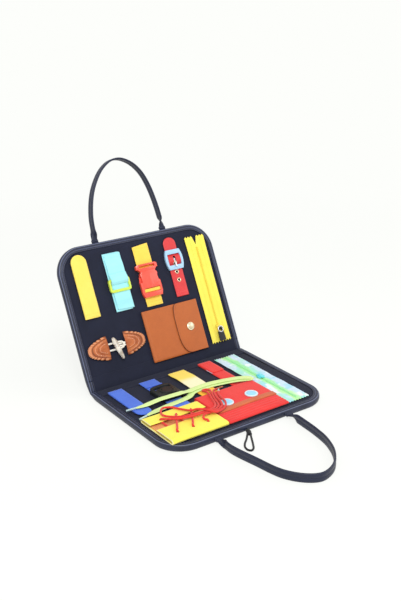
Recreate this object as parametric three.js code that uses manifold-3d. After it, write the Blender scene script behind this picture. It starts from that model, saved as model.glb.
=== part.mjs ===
// A fold-open busy-board handbag, resting on its front leaf with the rear leaf standing.
// Two padded leaves are joined by a soft spine. Each leaf is laid out in page coordinates:
// x to the right, d away from the fold, z up from the leaf's outer face. Millimetres, +Z up.
// The origin is the centre of the front leaf's flat underside.
import * as THREE from 'three';
import { mergeVertices } from 'three/addons/utils/BufferGeometryUtils.js';
import Module from 'manifold-3d';

const wasm = await Module();
wasm.setup();

// Leaves and spine
const leafWidth = 280;
const leafDepth = 204;
const leafThickness = 10;
const cornerRadius = 42;
const restOpening = 116; // degrees between the two leaves
const spineWidth = 30;
const spineSheet = 1.5; // spine cover and spine lining, each
const coverThickness = 2;
const liningThickness = 2;
const rimBand = 9; // width of the binding over each face
const rimWall = 1.2;
const rimFlange = 1;
const layerGap = 0.3; // between stitched layers
const foldGap = 0.2; // from a bevelled edge to its hinge line
const foldSetback = 4; // from the hinge line to the padded edge
const cutOverrun = 5; // how far every cutting tool runs past what it cuts
const cornerSegments = 8;

// Handles
const handleWidth = 9.6;
const handleThickness = 3;
const handleSpan = 122; // between the middles of its two ends
const handleCentre = -4;
const frontHandleReach = 151;
const rearHandleReach = 117;
const rearHandleLean = 7; // degrees that the rear handle stands nearer upright than its leaf
const handleTabWidth = 13;
const handleTabLength = 1.6;
const handleTabThickness = 2.4;
const handleSteps = 36;

// Closure loop on the front leaf and its button on the rear leaf
const loopCord = 3;
const loopTabWidth = 9;
const loopTabLength = 4;
const loopTabThickness = 3.4;
const loopTabLow = 1.2;
const loopTabPlace = -17;
const buttonDiameter = 20;
const buttonHeight = 4.5;
const buttonShank = 6;
const buttonShankHeight = 2;
const buttonInset = 22; // from the leaf's far edge

// Hook-and-loop straps
const hookThickness = 1.5;
const loopStripThickness = 1.2;
const loopStripShort = 7; // how much shorter the loop strip is than its hook strap
const yellowHookWidth = 25;
const yellowHookLength = 97;
const yellowHookInset = 35.5; // from the leaf's left edge to the strap's middle
const yellowHookPlace = yellowHookInset - leafWidth / 2;
const yellowHookStart = 93.6;
const blueHookWidth = 23;
const blueHookLength = 90;
const blueHookInset = 29.5; // from the leaf's left edge to the strap's middle
const blueHookPlace = blueHookInset - leafWidth / 2;
const blueHookStart = 9.6;
const redHookWidth = 22.5;
const redHookLength = 39;
const redStripLength = 90.5;
const redHookPlace = 52;
const redHookStart = 7;
const redTipRadius = 4;

// Plain yellow strap on the front leaf
const yellowStrapWidth = 29;
const yellowStrapPlace = -0.5;
const yellowStrapStart = 7;
const yellowStrapLength = 90.5;
const yellowStrapCrown = 1.4; // how far its loose middle stands off the lining

// Webbing
const webbingThickness = 1.4;

// Cyan webbing with its tri-glide
const cyanWidth = 28;
const cyanPlace = -49;
const cyanStart = 93.6;
const cyanLength = 90;
const cyanShift = 1.6; // sideways shift of the folded-back layer
const cyanRise = 3.2; // from the lower layer to the raised one
const cyanRampIn = 9;
const cyanRampOut = 12;
const cyanRamp = 6;
const glideLength = 21;
const glideMiddle = 133;
const glideEndBar = 4.2;
const glideCentreBar = 3;
const glideSide = 2.8;
const glideBarThickness = 1.6;
const glideCentreThickness = 1.2;
const glideCorner = 4;

// Side-release buckle
const releasePlace = 5;
const releaseWebbing = 28;
const releaseLowerStart = 89.6;
const releaseUpperEnd = 184.6;
const socketStart = 103.6;
const socketLength = 38;
const socketWidth = 36;
const socketWaist = 29;
const socketEndWidth = 31;
const buckleFoot = 0.6; // height of a buckle's underside over the lining
const releaseHeight = 7.6;
const releaseEdgeHeight = 5;
const socketBar = 7;
const socketSlot = 7;
const socketChannelWidth = 24;
const socketChannelHeight = 4.2;
const socketChannelDepth = 20;
const socketWindow = 10;
const socketLip = 4;
const socketFloor = 1.7;
const ridgeLength = 22;
const ridgeWidth = 8;
const ridgeHeight = 1;
const plugStart = 145;
const plugLength = 11;
const plugWidth = 38;
const plugNeck = 28;
const plugSlot = 3.4;
const plugSlotInset = 4.8;
const plugArmLength = 21;
const plugArmWidth = 4.2;
const plugGuideWidth = 5;
const plugTravelClearance = 0.5;

// Centre-push buckle
const pushPlace = -54;
const pushWebbing = 27;
const pushUpperStart = 7.6;
const pushBodyStart = 42;
const pushBodyLength = 31.5;
const pushBodyWidth = 36;
const pushHeight = 8.2;
const pushEdgeHeight = 6.2;
const pushBar = 4.8;
const pushSlot = 6.4;
const pushChannelWidth = 23;
const pushChannelHeight = 2.6;
const pushChannelDepth = 17;
const pushFloor = 2;
const pushCorner = 5;
const pushButtonDiameter = 16;
const pushButtonGap = 0.5;
const pushButtonInset = 10.4; // from the body's open end to the button's middle
const pushButtonLift = 1.6; // room under the button, its travel
const pushRingWidth = 1.8;
const pushRingHeight = 0.9;
const pushButtonProud = 0.4;
const pushTongueThickness = 1.8;
const pushTongueHole = 11;
const pushBlockLength = 8;
const pushBlockGap = 1;
const pushLowerStart = 76;
const pushLowerLength = 34;
const pushLowerShift = -1.5;

// Belt with its centre-bar buckle
const beltPlace = 58.5;
const beltWidth = 22;
const beltThickness = 1.6;
const beltStart = 93.6;
const beltLength = 95;
const beltTipRadius = 10;
const frameMiddle = 152.6;
const frameLength = 32;
const frameWidth = 32;
const frameEndWidth = 25;
const frameBar = 7;
const frameSide = 4;
const frameBarThickness = 2.4;
const frameThickness = 4;
const frameCornerRadius = 1.5; // of the window
const centreBarDiameter = 2.2;
const centreBarOffset = 0.9; // from the frame's middle
const centreBarHeight = 2.6;
const prongThickness = 1.4;
const prongWidth = 2.6;
const prongEye = 2; // outer radius of the prong's eye
const prongEyeClearance = 0.3;
const prongTipPast = 3.2; // how far the tip reaches over the front bar
const beltHumpRun = 4.6; // length of the belt's rise over the centre bar
const beltHoleWidth = 4.4;
const eyeletHole = 3.4;
const eyeletDiameter = 6.4;
const eyeletHeight = 0.4;
const eyeletPitch = 13.3;
const eyeletCount = 2;
const eyeletToFrame = 3.8; // from the frame's edge to the first eyelet's middle

// Zips
const tapeThickness = 1;
const chainWidth = 5;
const chainHeight = 1.6;
const toothPitch = 3.6;
const toothGap = 1.3;
const toothRoot = 0.5;
const yellowZipPlace = 107;
const yellowZipWidth = 36;
const yellowZipStart = 5.6;
const yellowZipLength = 178;
const yellowSliderPlace = 28.6;
const yellowNotchLength = 15;
const yellowNotchWidth = 6;
const pinkingPitch = 4;
const pinkingDepth = 1.8;
const pastelZipPlace = 92;
const pastelZipWidth = 38;
const pastelZipStart = 6;
const pastelZipLength = 183;
const pastelSliderPlace = 98;
const sliderLength = 10.5;
const sliderWidth = 9.4;
const sliderNose = 6;
const sliderPlate = 1.3;
const sliderCheek = 1.6;
const bridgeWidth = 2.6;
const bridgeLength = 6.6;
const bridgeHeight = 2.8;
const bridgeHole = 2.6;
const bridgeHoleHeight = 1.2;
const pullPin = 1.8;
const pullArm = 1.6;
const pullReach = 7;
const pullLength = 14;
const pullWidth = 10;
const pullTipWidth = 12;
const pullThickness = 1.4;
const pullDrop = 0.3;
const pullEyeGap = 0.5;
const pastelTabLength = 12;

// Toggle fastening
const patchThickness = 1.8;
const patchLength = 34;
const patchHeight = 36;
const leftPatchEdge = -93;
const rightPatchEdge = -63;
const toggleLine = 44.6;
const scallopCount = 22;
const scallopDepth = 1;
const toggleCord = 2.4;
const toggleLength = 37;
const toggleRadius = 4.4;
const toggleNeckRadius = 3.4;
const toggleTipRadius = 2.1;
const toggleTaperRadius = 3.05;
const toggleTilt = 16; // degrees off the leaf's depth
const togglePlace = -81.8;
const toggleHeight = 8.8; // of its axis over the lining
const toggleNeckOffset = 4.2; // from its middle to its neck
const toggleNeckWidth = 5;

// Wallet
const walletLeft = -24;
const walletRight = 76;
const walletStart = 3.6;
const walletHeight = 80;
const leather = 1.3;
const walletRoom = 0.8;
const walletFlapReach = 46;
const walletFlapTopInset = 38;
const walletFlapBottomInset = 28;
const walletSnapDiameter = 13.5;
const walletSnapHeight = 1.8;
const walletSnapInset = 22;

// Pouch
const pouchLeft = -34;
const pouchRight = 71;
const pouchStart = 104;
const pouchDepth = 86.5;
const pouchCloth = 1.2;
const pouchRoom = 1;
const pouchMouthInset = 3;
const pouchFlapDepth = 58;
const pouchFlapInset = 1.5;
const pouchTrimWidth = 9;
const pouchTrimHeight = 0.75;
const pouchSnapDiameter = 20;
const pouchSnapHeight = 1.7;
const pouchSnapInset = 19.5; // from the flap's front edge
const pouchSnapSpread = 44;

// Lacing panel
const sleeveLeft = -129;
const sleeveRight = -37;
const sleeveStart = 112;
const sleeveDepth = 79.5;
const sleeveCloth = 1.2;
const sleeveHeight = 6.6; // of its outer top over the lining
const sleeveEndRadius = 3;
const sleeveRearFlap = 24;
const sleeveFrontFlap = 39.5;
const laceHole = 4.6;
const laceHolePlaces = [-109, -83.5, -59];
const rearHoleInset = 19;
const frontHoleInset = 18.5;
const tongueThickness = 0.8;
const tongueInset = 2;
const tongueStart = 128;
const tongueDepth = 32;

// Laces
const redLace = 2.6;
const limeWidth = 9.5;
const limeThickness = 1.1;
const limeSteps = 84;
const agletRadius = 1.7;
const agletLength = 13;
const limeAgletLength = 15;
const cordSides = 8;
const cordStepShare = 2.6; // longest step along a cord, in diameters

const mergeTolerance = 1e-4;

// How many flats stand for a round
const roundSegments = 28;
const eyeletSegments = 16;
const toggleSegments = 16;
const laceHoleSegments = 12;
const pinSegments = 12;
const ridgeSegments = 12;
const ridgeRings = 8;
const agletSegments = 10;

// Places and heights that follow from the sizes above, and shapes given as shares
const strapTrimShare = 0.25; // of a strap's thickness, trimmed off its corners
const liningFace = leafThickness; // height of the lining on a page
const handleAxis = leafDepth + handleTabLength + layerGap + handleThickness / 2;
const handleTurnShare = 0.16; // of the strap's length, over which it turns on edge
const crownStepShare = 0.7;
const webbingLow = liningFace + layerGap;
const webbingMiddle = webbingLow + webbingThickness / 2;
const strapPassage = webbingLow + webbingThickness + layerGap; // lowest height clear of one layer
const centreBarLine = frameMiddle + centreBarOffset;
const beltMiddle = liningFace + layerGap + beltThickness / 2;
const frameStart = frameMiddle - frameLength / 2;
const frameEnd = frameMiddle + frameLength / 2;
const frameLow = liningFace + buckleFoot;
const frameBarLow = liningFace + layerGap + beltThickness + layerGap;
const frameTop = frameBarLow + frameBarThickness;
const tapeTop = liningFace + layerGap + tapeThickness;
const sliderTop = tapeTop + chainHeight + layerGap + sliderPlate;
const fanShare = 1.7; // how full the leather fan's outline is
const walletEnd = walletStart + walletHeight;
const dishShare = 0.72;
const dishDepth = 0.4;
const pouchEnd = pouchStart + pouchDepth;
const sleeveEnd = sleeveStart + sleeveDepth;
const agletTipShare = 0.8;

// A unit shape: across and out shares of the front and rear handle loops
const frontAcrossShares = [-1, -1.03, -1.07, -0.97, -0.82, -0.54, -0.25, 0.16, 0.54, 0.79, 0.9, 0.95, 0.98, 1];
const frontOutShares = [0, 0.07, 0.2, 0.48, 0.78, 0.94, 1, 0.95, 0.8, 0.6, 0.4, 0.22, 0.08, 0];
const rearAcrossShares = [-1, -1, -0.98, -0.85, -0.67, -0.43, -0.15, 0.13, 0.44, 0.66, 0.81, 0.92, 0.98, 1];
const rearOutShares = [0, 0.1, 0.31, 0.57, 0.75, 0.9, 0.99, 1, 0.92, 0.79, 0.61, 0.36, 0.1, 0];

// Page places of the laces: x, d and height over the lining of the middle of the cord
const redRoute = [
  [12, 95.6, 3.8], [8, 96.4, 4.1], [4.5, 98.6, 5.2], [1, 103, 7.1], [-3, 111, 7.1], [-9, 126, 7.8],
  [-13, 140, 9], [-18.5, 150.5, 9], [-29, 157.6, 9.2], [-41, 160.7, 10.6], [-52, 161, 11.4],
  [-58, 162, 11.2], [-61.8, 165.4, 9.6], [-61.2, 169, 8.5], [-59, 171.2, 8.4], [-59, 172.8, 7.4],
  [-59, 173.1, 6], [-59, 172.6, 4.8], [-59, 170.8, 4], [-59, 166, 4], [-59, 152, 4], [-59, 137, 4],
  [-59, 133.2, 4], [-59, 131.4, 4.8], [-59, 130.9, 6], [-59, 131.2, 7.4], [-60, 132.9, 8.4],
  [-62.5, 137, 8.6], [-70, 150, 8.6], [-80.5, 167.5, 8.6], [-83.5, 171.2, 8.4], [-83.5, 172.8, 7.4],
  [-83.5, 173.1, 6], [-83.5, 172.6, 4.8], [-83.5, 170.8, 4], [-83.5, 166, 4], [-83.5, 152, 4],
  [-83.5, 137, 4], [-83.5, 133.2, 4], [-83.5, 131.4, 4.8], [-83.5, 130.9, 6], [-83.5, 131.2, 7.4],
  [-84.5, 132.9, 8.4], [-87.5, 137, 8.6], [-96, 151, 8.6], [-106, 167.5, 8.6], [-109, 171.2, 8.4],
  [-109, 172.8, 7.4], [-109, 173.1, 6], [-109, 172.6, 4.8], [-109, 170.8, 4], [-109, 166, 4],
  [-109, 152, 4], [-109, 137, 4], [-109, 133.2, 4], [-109, 131.4, 4.8], [-109, 130.9, 6],
  [-109, 131.2, 7.4], [-108.8, 132.9, 8.5], [-107.2, 137, 9.6], [-101, 146, 11.7], [-86, 153.5, 11.8],
  [-70, 157, 11.8], [-56, 157, 11.4], [-44, 156.9, 10.6], [-32, 154, 9], [-22.5, 147, 8.2],
  [-17.4, 138, 7.4], [-13, 125, 7.1], [-7.5, 112, 7.1], [-3, 102, 7], [0, 94, 5], [-1, 88, 3.8],
  [-6, 86.5, 3.8], [-9.5, 91, 5], [-9, 101, 7], [-11.5, 111, 7.1], [-16.5, 124, 7.1], [-20.8, 136, 7.4],
  [-25.5, 144, 8.2], [-33.5, 150.3, 9], [-44, 153.4, 10.6], [-56, 153.4, 11.4], [-70, 153, 11.8],
  [-85, 149, 11.8], [-97, 141, 11.6], [-103, 130, 10.6], [-99.5, 117, 9], [-90, 107.5, 8.5],
  [-79.5, 112, 8.6], [-72, 127, 9.6], [-66, 142, 12.2], [-60, 147.5, 14.6], [-54, 153.4, 15.2],
  [-49, 160, 15], [-42, 164.9, 12], [-31, 162.4, 9.6], [-16.5, 155.2, 9], [-8.5, 144.5, 9.2],
  [-4.5, 130, 8.8], [-2, 122, 7.6], [1.5, 114, 7.1], [5.5, 109, 7.1],
];
const limeRoute = [
  [-117, 79.8, 5.5], [-104, 80.5, 5.5], [-91, 81.5, 7.2], [-78, 83.6, 9.6], [-66, 85, 10.2], [-52, 85.4, 10.2],
  [-39, 83.8, 9], [-28, 80, 5.4], [-14, 77, 4.7], [0, 75.8, 4.7], [14, 76, 4.6], [30, 79, 4.8], [45, 85, 6.2],
  [56, 92, 8], [65, 99, 8.8], [69, 102.5, 8.7], [70.3, 103.6, 7.9], [68.4, 103.4, 7.1], [63.4, 101.4, 7],
  [53.4, 95.4, 6.2], [43, 88.6, 4.4], [29, 83, 3], [13.6, 80.2, 2.9], [0, 80, 2.9], [-13, 81, 2.9],
  [-23, 83.4, 2.9], [-33, 90.2, 2.8],
  [-46, 93.2, 2.7], [-58, 94.6, 2.7], [-72, 95.6, 2.6], [-87, 98, 2.5], [-98, 101.4, 3.6], [-108, 104.6, 4.6],
  [-115, 106.4, 4.6],
];
const closureRoute = [
  [-15, 209.2, -7.1], [-17.8, 213.8, -7.8], [-21.5, 219.6, -8.4], [-27.5, 229.5, -8.4], [-34, 240, -8.4],
  [-39.5, 247.3, -8.4], [-44.5, 249.5, -8.4], [-47.3, 245.5, -8.4], [-46, 238, -8.4], [-40, 229.8, -8.4],
  [-33, 223.6, -8.4], [-27, 217.6, -8.4], [-22.8, 213.2, -7.8], [-19.1, 209.2, -7.1],
];
const toggleLoopRoute = [
  [-92.6, 49.6, 1.6], [-88, 49.6, 1.6], [-80, 49.6, 1.6], [-73, 49.6, 1.8], [-69.5, 48.8, 3.2],
  [-67.8, 46.6, 4.3], [-67.4, 44.6, 4.35], [-67.8, 42.6, 4.3], [-69.5, 40.4, 3.2], [-73, 39.6, 1.8],
  [-80, 39.6, 1.6], [-88, 39.6, 1.6], [-92.6, 39.6, 1.6],
];
const toggleCordRoute = [
  [-63.4, 46.4, 1.6], [-68, 46.4, 1.6], [-74, 46.4, 1.6], [-79, 46.4, 2.4], [-81.6, 45.9, 3.5],
  [-82.3, 44.6, 3.8], [-81.6, 43.3, 3.5], [-79, 42.8, 2.4], [-74, 42.8, 1.6], [-68, 42.8, 1.6],
  [-63.4, 42.8, 1.6],
];

// Finishes

function finish(color, roughness, metalness = 0) {
  return new THREE.MeshStandardMaterial({ color, roughness, metalness });
}

const navyFabric = finish(0x2d2e42, 0.9);
const navyBinding = finish(0x34354a, 0.85);
const boardFoam = finish(0x3a3a3e, 0.95);
const blackCord = finish(0x141416, 0.7);
const blackPlastic = finish(0x17171b, 0.45);
const yellowFabric = finish(0xffe85a, 0.85);
const yellowWebbing = finish(0xfbd94f, 0.85);
const cyanWebbing = finish(0xb4f6fb, 0.85);
const limePlastic = finish(0xd6ea58, 0.4);
const redPlastic = finish(0xf8553f, 0.4);
const redLeather = finish(0xf5474f, 0.6);
const paleBluePlastic = finish(0xafd7f0, 0.4);
const steel = finish(0xc8c8cc, 0.3, 0.9);
const brownLeather = finish(0xc26a3a, 0.6);
const creamCord = finish(0xe8e0cf, 0.8);
const horn = finish(0xd8d0bf, 0.45);
const blueWebbing = finish(0x4f7ce8, 0.85);
const redFabric = finish(0xfa423c, 0.85);
const pastelTape = finish(0xb8f0cf, 0.85);
const cyanPlastic = finish(0x62e6ee, 0.4);
const limeLaceFinish = finish(0xd5f08f, 0.85);
const clearPlastic = finish(0xdff6f4, 0.35);
const orangeFabric = finish(0xe08a4f, 0.85);
const redLaceFinish = finish(0xf5453c, 0.85);
const brownPlastic = finish(0xb86030, 0.45);
const snapPlastic = finish(0xa6e0f8, 0.4);

// Solid making

function toSolid(geometry) {
  const bare = geometry.clone();
  bare.deleteAttribute('normal');
  bare.deleteAttribute('uv');
  const merged = mergeVertices(bare, mergeTolerance);
  return new wasm.Manifold(new wasm.Mesh({
    numProp: 3,
    vertProperties: new Float32Array(merged.attributes.position.array),
    triVerts: new Uint32Array(merged.index.array),
  }));
}

function fromSolid(solid) {
  const mesh = solid.getMesh();
  const geometry = new THREE.BufferGeometry();
  geometry.setAttribute('position', new THREE.BufferAttribute(mesh.vertProperties, 3));
  geometry.setIndex(new THREE.BufferAttribute(mesh.triVerts, 1));
  return geometry;
}

function combine(operation, first, others) {
  let solid = toSolid(first);
  for (const other of others) {
    solid = solid[operation](toSolid(other));
  }
  return fromSolid(solid);
}

const join = (first, ...others) => combine('add', first, others);
const cut = (first, ...others) => combine('subtract', first, others);
const common = (first, ...others) => combine('intersect', first, others);

function block(x0, x1, d0, d1, z0, z1) {
  const box = new THREE.BoxGeometry(x1 - x0, d1 - d0, z1 - z0);
  return box.translate((x0 + x1) / 2, (d0 + d1) / 2, (z0 + z1) / 2);
}

function shapeOf(points) {
  return new THREE.Shape(points.map(([a, b]) => new THREE.Vector2(a, b)));
}

// A flat plate with an outline in x and d, between two heights
function plate(shape, z0, z1) {
  const settings = { depth: z1 - z0, bevelEnabled: false, curveSegments: cornerSegments };
  return new THREE.ExtrudeGeometry(shape, settings).translate(0, 0, z0);
}

const axisX = new THREE.Vector3(1, 0, 0);
const axisY = new THREE.Vector3(0, 1, 0);
const axisZ = new THREE.Vector3(0, 0, 1);

// A profile in d and z, run from x0 to x1
function alongX(shape, x0, x1) {
  const settings = { depth: x1 - x0, bevelEnabled: false, curveSegments: cornerSegments };
  const solid = new THREE.ExtrudeGeometry(shape, settings);
  solid.applyMatrix4(new THREE.Matrix4().makeBasis(axisY, axisZ, axisX));
  return solid.translate(x0, 0, 0);
}

// A profile in x and z, run from d0 to d1
function alongD(shape, d0, d1) {
  const settings = { depth: d1 - d0, bevelEnabled: false, curveSegments: cornerSegments };
  const solid = new THREE.ExtrudeGeometry(shape, settings);
  solid.applyMatrix4(new THREE.Matrix4().makeBasis(axisX, axisZ, axisY.clone().negate()));
  return solid.translate(0, d1, 0);
}

// The outline of a band of one thickness that follows a line of points
function bandShape(points, thickness) {
  const line = points.map(([a, b]) => new THREE.Vector2(a, b));
  const upper = [];
  const lower = [];
  line.forEach((point, i) => {
    const before = point.clone().sub(line[Math.max(i - 1, 0)]).normalize();
    const after = line[Math.min(i + 1, line.length - 1)].clone().sub(point).normalize();
    const run = before.clone().add(after).normalize();
    const side = new THREE.Vector2(-run.y, run.x);
    const sharpness = before.lengthSq() && after.lengthSq() ? run.dot(after) : 1;
    const offset = side.multiplyScalar(thickness / 2 / sharpness);
    upper.push(point.clone().add(offset));
    lower.unshift(point.clone().sub(offset));
  });
  return new THREE.Shape([...upper, ...lower]);
}

// A rectangle whose corners at its far end and near end are rounded
function roundedStrip(middle, width, d0, d1, farRadius, nearRadius = 0) {
  const left = middle - width / 2;
  const right = middle + width / 2;
  const shape = new THREE.Shape();
  shape.moveTo(left + nearRadius, d0);
  shape.lineTo(right - nearRadius, d0);
  if (nearRadius > 0) {
    shape.absarc(right - nearRadius, d0 + nearRadius, nearRadius, -Math.PI / 2, 0);
  }
  shape.lineTo(right, d1 - farRadius);
  if (farRadius > 0) {
    shape.absarc(right - farRadius, d1 - farRadius, farRadius, 0, Math.PI / 2);
    shape.absarc(left + farRadius, d1 - farRadius, farRadius, Math.PI / 2, Math.PI);
  } else {
    shape.lineTo(right, d1);
    shape.lineTo(left, d1);
  }
  if (nearRadius > 0) {
    shape.absarc(left + nearRadius, d0 + nearRadius, nearRadius, Math.PI, 1.5 * Math.PI);
  }
  return shape;
}

// A turned piece that stands on the page: profile of radius and height
function turned(profile, x, d, z, segments = 28) {
  const points = profile.map(([radius, height]) => new THREE.Vector2(radius, height));
  const solid = new THREE.LatheGeometry(points, segments);
  return solid.rotateX(Math.PI / 2).translate(x, d, z);
}

function disc(radius, x, d, z0, z1, segments = 24) {
  return turned([[0, 0], [radius, 0], [radius, z1 - z0], [0, z1 - z0]], x, d, z0, segments);
}

// A rod along x
function rodX(radius, x0, x1, d, z, sides = 16) {
  const rod = new THREE.CylinderGeometry(radius, radius, x1 - x0, sides);
  return rod.rotateZ(Math.PI / 2).translate((x0 + x1) / 2, d, z);
}

function routeCurve(route) {
  const points = route.map(([x, d, height]) => new THREE.Vector3(x, d, leafThickness + height));
  return new THREE.CatmullRomCurve3(points, false, 'centripetal');
}

// A round cord along a route, with more rings where the route's points lie close together
function cordAlong(route, diameter) {
  const curve = routeCurve(route);
  const shares = [0];
  for (let i = 1; i < route.length; i += 1) {
    const span = curve.points[i].distanceTo(curve.points[i - 1]);
    const pieces = Math.max(1, Math.round(span / (cordStepShare * diameter)));
    for (let k = 1; k <= pieces; k += 1) {
      shares.push((i - 1 + k / pieces) / (route.length - 1));
    }
  }
  const side = new THREE.Vector3();
  const rings = shares.map((share) => {
    const tangent = curve.getTangent(share);
    if (side.lengthSq() === 0) {
      side.crossVectors(tangent, axisZ);
    }
    side.addScaledVector(tangent, -side.dot(tangent)).normalize();
    const up = tangent.clone().cross(side).normalize();
    const middle = curve.getPoint(share);
    const ring = [];
    for (let k = 0; k < cordSides; k += 1) {
      const angle = (k / cordSides) * 2 * Math.PI;
      const around = side.clone().multiplyScalar(Math.cos(angle)).addScaledVector(up, Math.sin(angle));
      ring.push(middle.clone().addScaledVector(around, diameter / 2));
    }
    return ring;
  });
  return loft(rings);
}

// A closed solid through rings of points, with flat ends
function loft(rings) {
  const count = rings[0].length;
  const positions = [];
  const index = [];
  rings.forEach((ring) => ring.forEach((p) => positions.push(p.x, p.y, p.z)));
  for (let r = 0; r < rings.length - 1; r += 1) {
    for (let i = 0; i < count; i += 1) {
      const a = r * count + i;
      const b = r * count + ((i + 1) % count);
      index.push(a, b, a + count, b, b + count, a + count);
    }
  }
  const last = (rings.length - 1) * count;
  for (let i = 1; i < count - 1; i += 1) {
    index.push(0, i + 1, i);
    index.push(last, last + i, last + i + 1);
  }
  const geometry = new THREE.BufferGeometry();
  geometry.setAttribute('position', new THREE.Float32BufferAttribute(positions, 3));
  geometry.setIndex(index);
  return geometry;
}

// A strap's section, its corners trimmed, around a middle point
function strapRing(middle, across, up, width, thickness) {
  const trim = thickness * strapTrimShare;
  const halfWidth = width / 2;
  const halfThick = thickness / 2;
  const corners = [
    [-halfWidth, -halfThick + trim], [-halfWidth + trim, -halfThick], [halfWidth - trim, -halfThick],
    [halfWidth, -halfThick + trim], [halfWidth, halfThick - trim], [halfWidth - trim, halfThick],
    [-halfWidth + trim, halfThick], [-halfWidth, halfThick - trim],
  ];
  return corners.map(([a, b]) => middle.clone().addScaledVector(across, a).addScaledVector(up, b));
}

// A flat lace along a route, level across its width
function flatLace(route, width, thickness, steps) {
  const curve = routeCurve(route);
  const rings = [];
  const across = new THREE.Vector3();
  for (let i = 0; i <= steps; i += 1) {
    const tangent = curve.getTangentAt(i / steps);
    const level = new THREE.Vector3(-tangent.y, tangent.x, 0).normalize();
    across.copy(level.dot(across) < 0 ? level.negate() : level);
    const up = tangent.clone().cross(across).normalize();
    const middle = curve.getPointAt(i / steps);
    const corners = [[-1, -1], [1, -1], [1, 1], [-1, 1]];
    rings.push(corners.map(([a, b]) => middle.clone()
      .addScaledVector(across, (a * width) / 2)
      .addScaledVector(up, (b * thickness) / 2)));
  }
  return loft(rings);
}

// Least distance between parts of a cord that aren't neighbours along it, less its diameter
function gapToItself(route, diameter) {
  const curve = routeCurve(route);
  const total = curve.getLength();
  const samples = Math.round(total / (diameter / 2));
  const points = curve.getSpacedPoints(samples);
  const spacing = total / samples;
  const skip = Math.ceil((2 * diameter) / spacing);
  let least = Infinity;
  for (let i = 0; i < points.length; i += 1) {
    for (let j = i + skip; j < points.length; j += 1) {
      least = Math.min(least, points[i].distanceTo(points[j]));
    }
  }
  return least - diameter;
}

// The front leaf is laid out as the mirror image of its page, so d runs towards -Y
function mirrorDepth(geometry) {
  const mirrored = mergeVertices(bareCopy(geometry), mergeTolerance);
  mirrored.scale(1, -1, 1);
  const index = mirrored.index.array;
  for (let i = 0; i < index.length; i += 3) {
    const swap = index[i + 1];
    index[i + 1] = index[i + 2];
    index[i + 2] = swap;
  }
  return mirrored;
}

function bareCopy(geometry) {
  const bare = geometry.clone();
  bare.deleteAttribute('normal');
  bare.deleteAttribute('uv');
  return bare;
}

function makePage(place) {
  return { group: new THREE.Group(), place };
}

function addPiece(page, name, geometry, material) {
  const mesh = new THREE.Mesh(page.place(geometry), material);
  mesh.name = name;
  page.group.add(mesh);
  return mesh;
}

// Leaf shell

function leafOutline(inset, start) {
  const radius = cornerRadius - inset;
  return roundedStrip(0, leafWidth - 2 * inset, start, leafDepth - inset, radius);
}

function beveledAtFold(solid) {
  const low = -cutOverrun;
  const wedge = shapeOf([
    [foldGap + low, low], [foldGap + leafThickness, leafThickness], [low - cutOverrun, leafThickness],
    [low - cutOverrun, low],
  ]);
  return cut(solid, alongX(wedge, -leafWidth, leafWidth));
}

function buildCover() {
  const edge = rimWall + layerGap;
  const skirt = plate(leafOutline(edge, 0), rimFlange + layerGap, coverThickness);
  const face = plate(leafOutline(rimBand + layerGap, 0), 0, coverThickness);
  return beveledAtFold(join(skirt, face));
}

function buildBoard() {
  const low = coverThickness + layerGap;
  const high = leafThickness - liningThickness - layerGap;
  return plate(leafOutline(rimWall + layerGap, foldSetback), low, high);
}

function buildLining() {
  const low = leafThickness - liningThickness;
  const skirt = plate(leafOutline(rimWall + layerGap, foldSetback), low, leafThickness - rimFlange - layerGap);
  const face = plate(leafOutline(rimBand + layerGap, foldSetback), low, leafThickness);
  return join(skirt, face);
}

function handleTab(side) {
  const middle = handleCentre + (side * handleSpan) / 2;
  const height = leafThickness / 2;
  return block(
    middle - handleTabWidth / 2, middle + handleTabWidth / 2,
    leafDepth - rimWall / 2, leafDepth + handleTabLength,
    height - handleTabThickness / 2, height + handleTabThickness / 2,
  );
}

function buildBinding(...extras) {
  const outer = plate(leafOutline(0, foldSetback), 0, leafThickness);
  const hollow = plate(leafOutline(rimWall, foldSetback - cutOverrun), rimFlange, leafThickness - rimFlange);
  const opening = plate(leafOutline(rimBand, foldSetback - cutOverrun), -cutOverrun, leafThickness + cutOverrun);
  return join(cut(outer, hollow, opening), handleTab(-1), handleTab(1), ...extras);
}

function addShell(page, side, ...bindingExtras) {
  addPiece(page, `${side}_cover`, buildCover(), navyFabric);
  addPiece(page, `${side}_board`, buildBoard(), boardFoam);
  addPiece(page, `${side}_lining`, buildLining(), navyFabric);
  addPiece(page, `${side}_binding`, buildBinding(...bindingExtras), navyBinding);
}

// Handles: a flat strap at its ends that turns on edge along its loop

function buildHandle(reach, acrossShares, outShares) {
  const places = acrossShares.map((share, i) => new THREE.Vector3(
    handleCentre + (share * handleSpan) / 2,
    outShares[i] * reach,
    0,
  ));
  const curve = new THREE.CatmullRomCurve3(places, false, 'centripetal');
  const rings = [];
  for (let i = 0; i <= handleSteps; i += 1) {
    const share = i / handleSteps;
    const tangent = i === 0 ? axisY.clone() : curve.getTangentAt(share);
    if (i === handleSteps) {
      tangent.copy(axisY).negate();
    }
    const side = tangent.clone().cross(axisZ).normalize();
    const nearEnd = Math.min(share, 1 - share) / handleTurnShare;
    const turn = (THREE.MathUtils.smoothstep(nearEnd, 0, 1) * Math.PI) / 2;
    const across = side.clone().multiplyScalar(Math.cos(turn)).addScaledVector(axisZ, Math.sin(turn));
    const up = tangent.clone().cross(across).normalize();
    rings.push(strapRing(curve.getPointAt(share), across, up, handleWidth, handleThickness));
  }
  const ends = [-1, 1].map((side) => {
    const middle = handleCentre + (side * handleSpan) / 2;
    return rodX(handleThickness / 2, middle - handleWidth / 2, middle + handleWidth / 2, 0, 0);
  });
  return join(loft(rings), ...ends);
}

// Hook-and-loop straps

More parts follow.
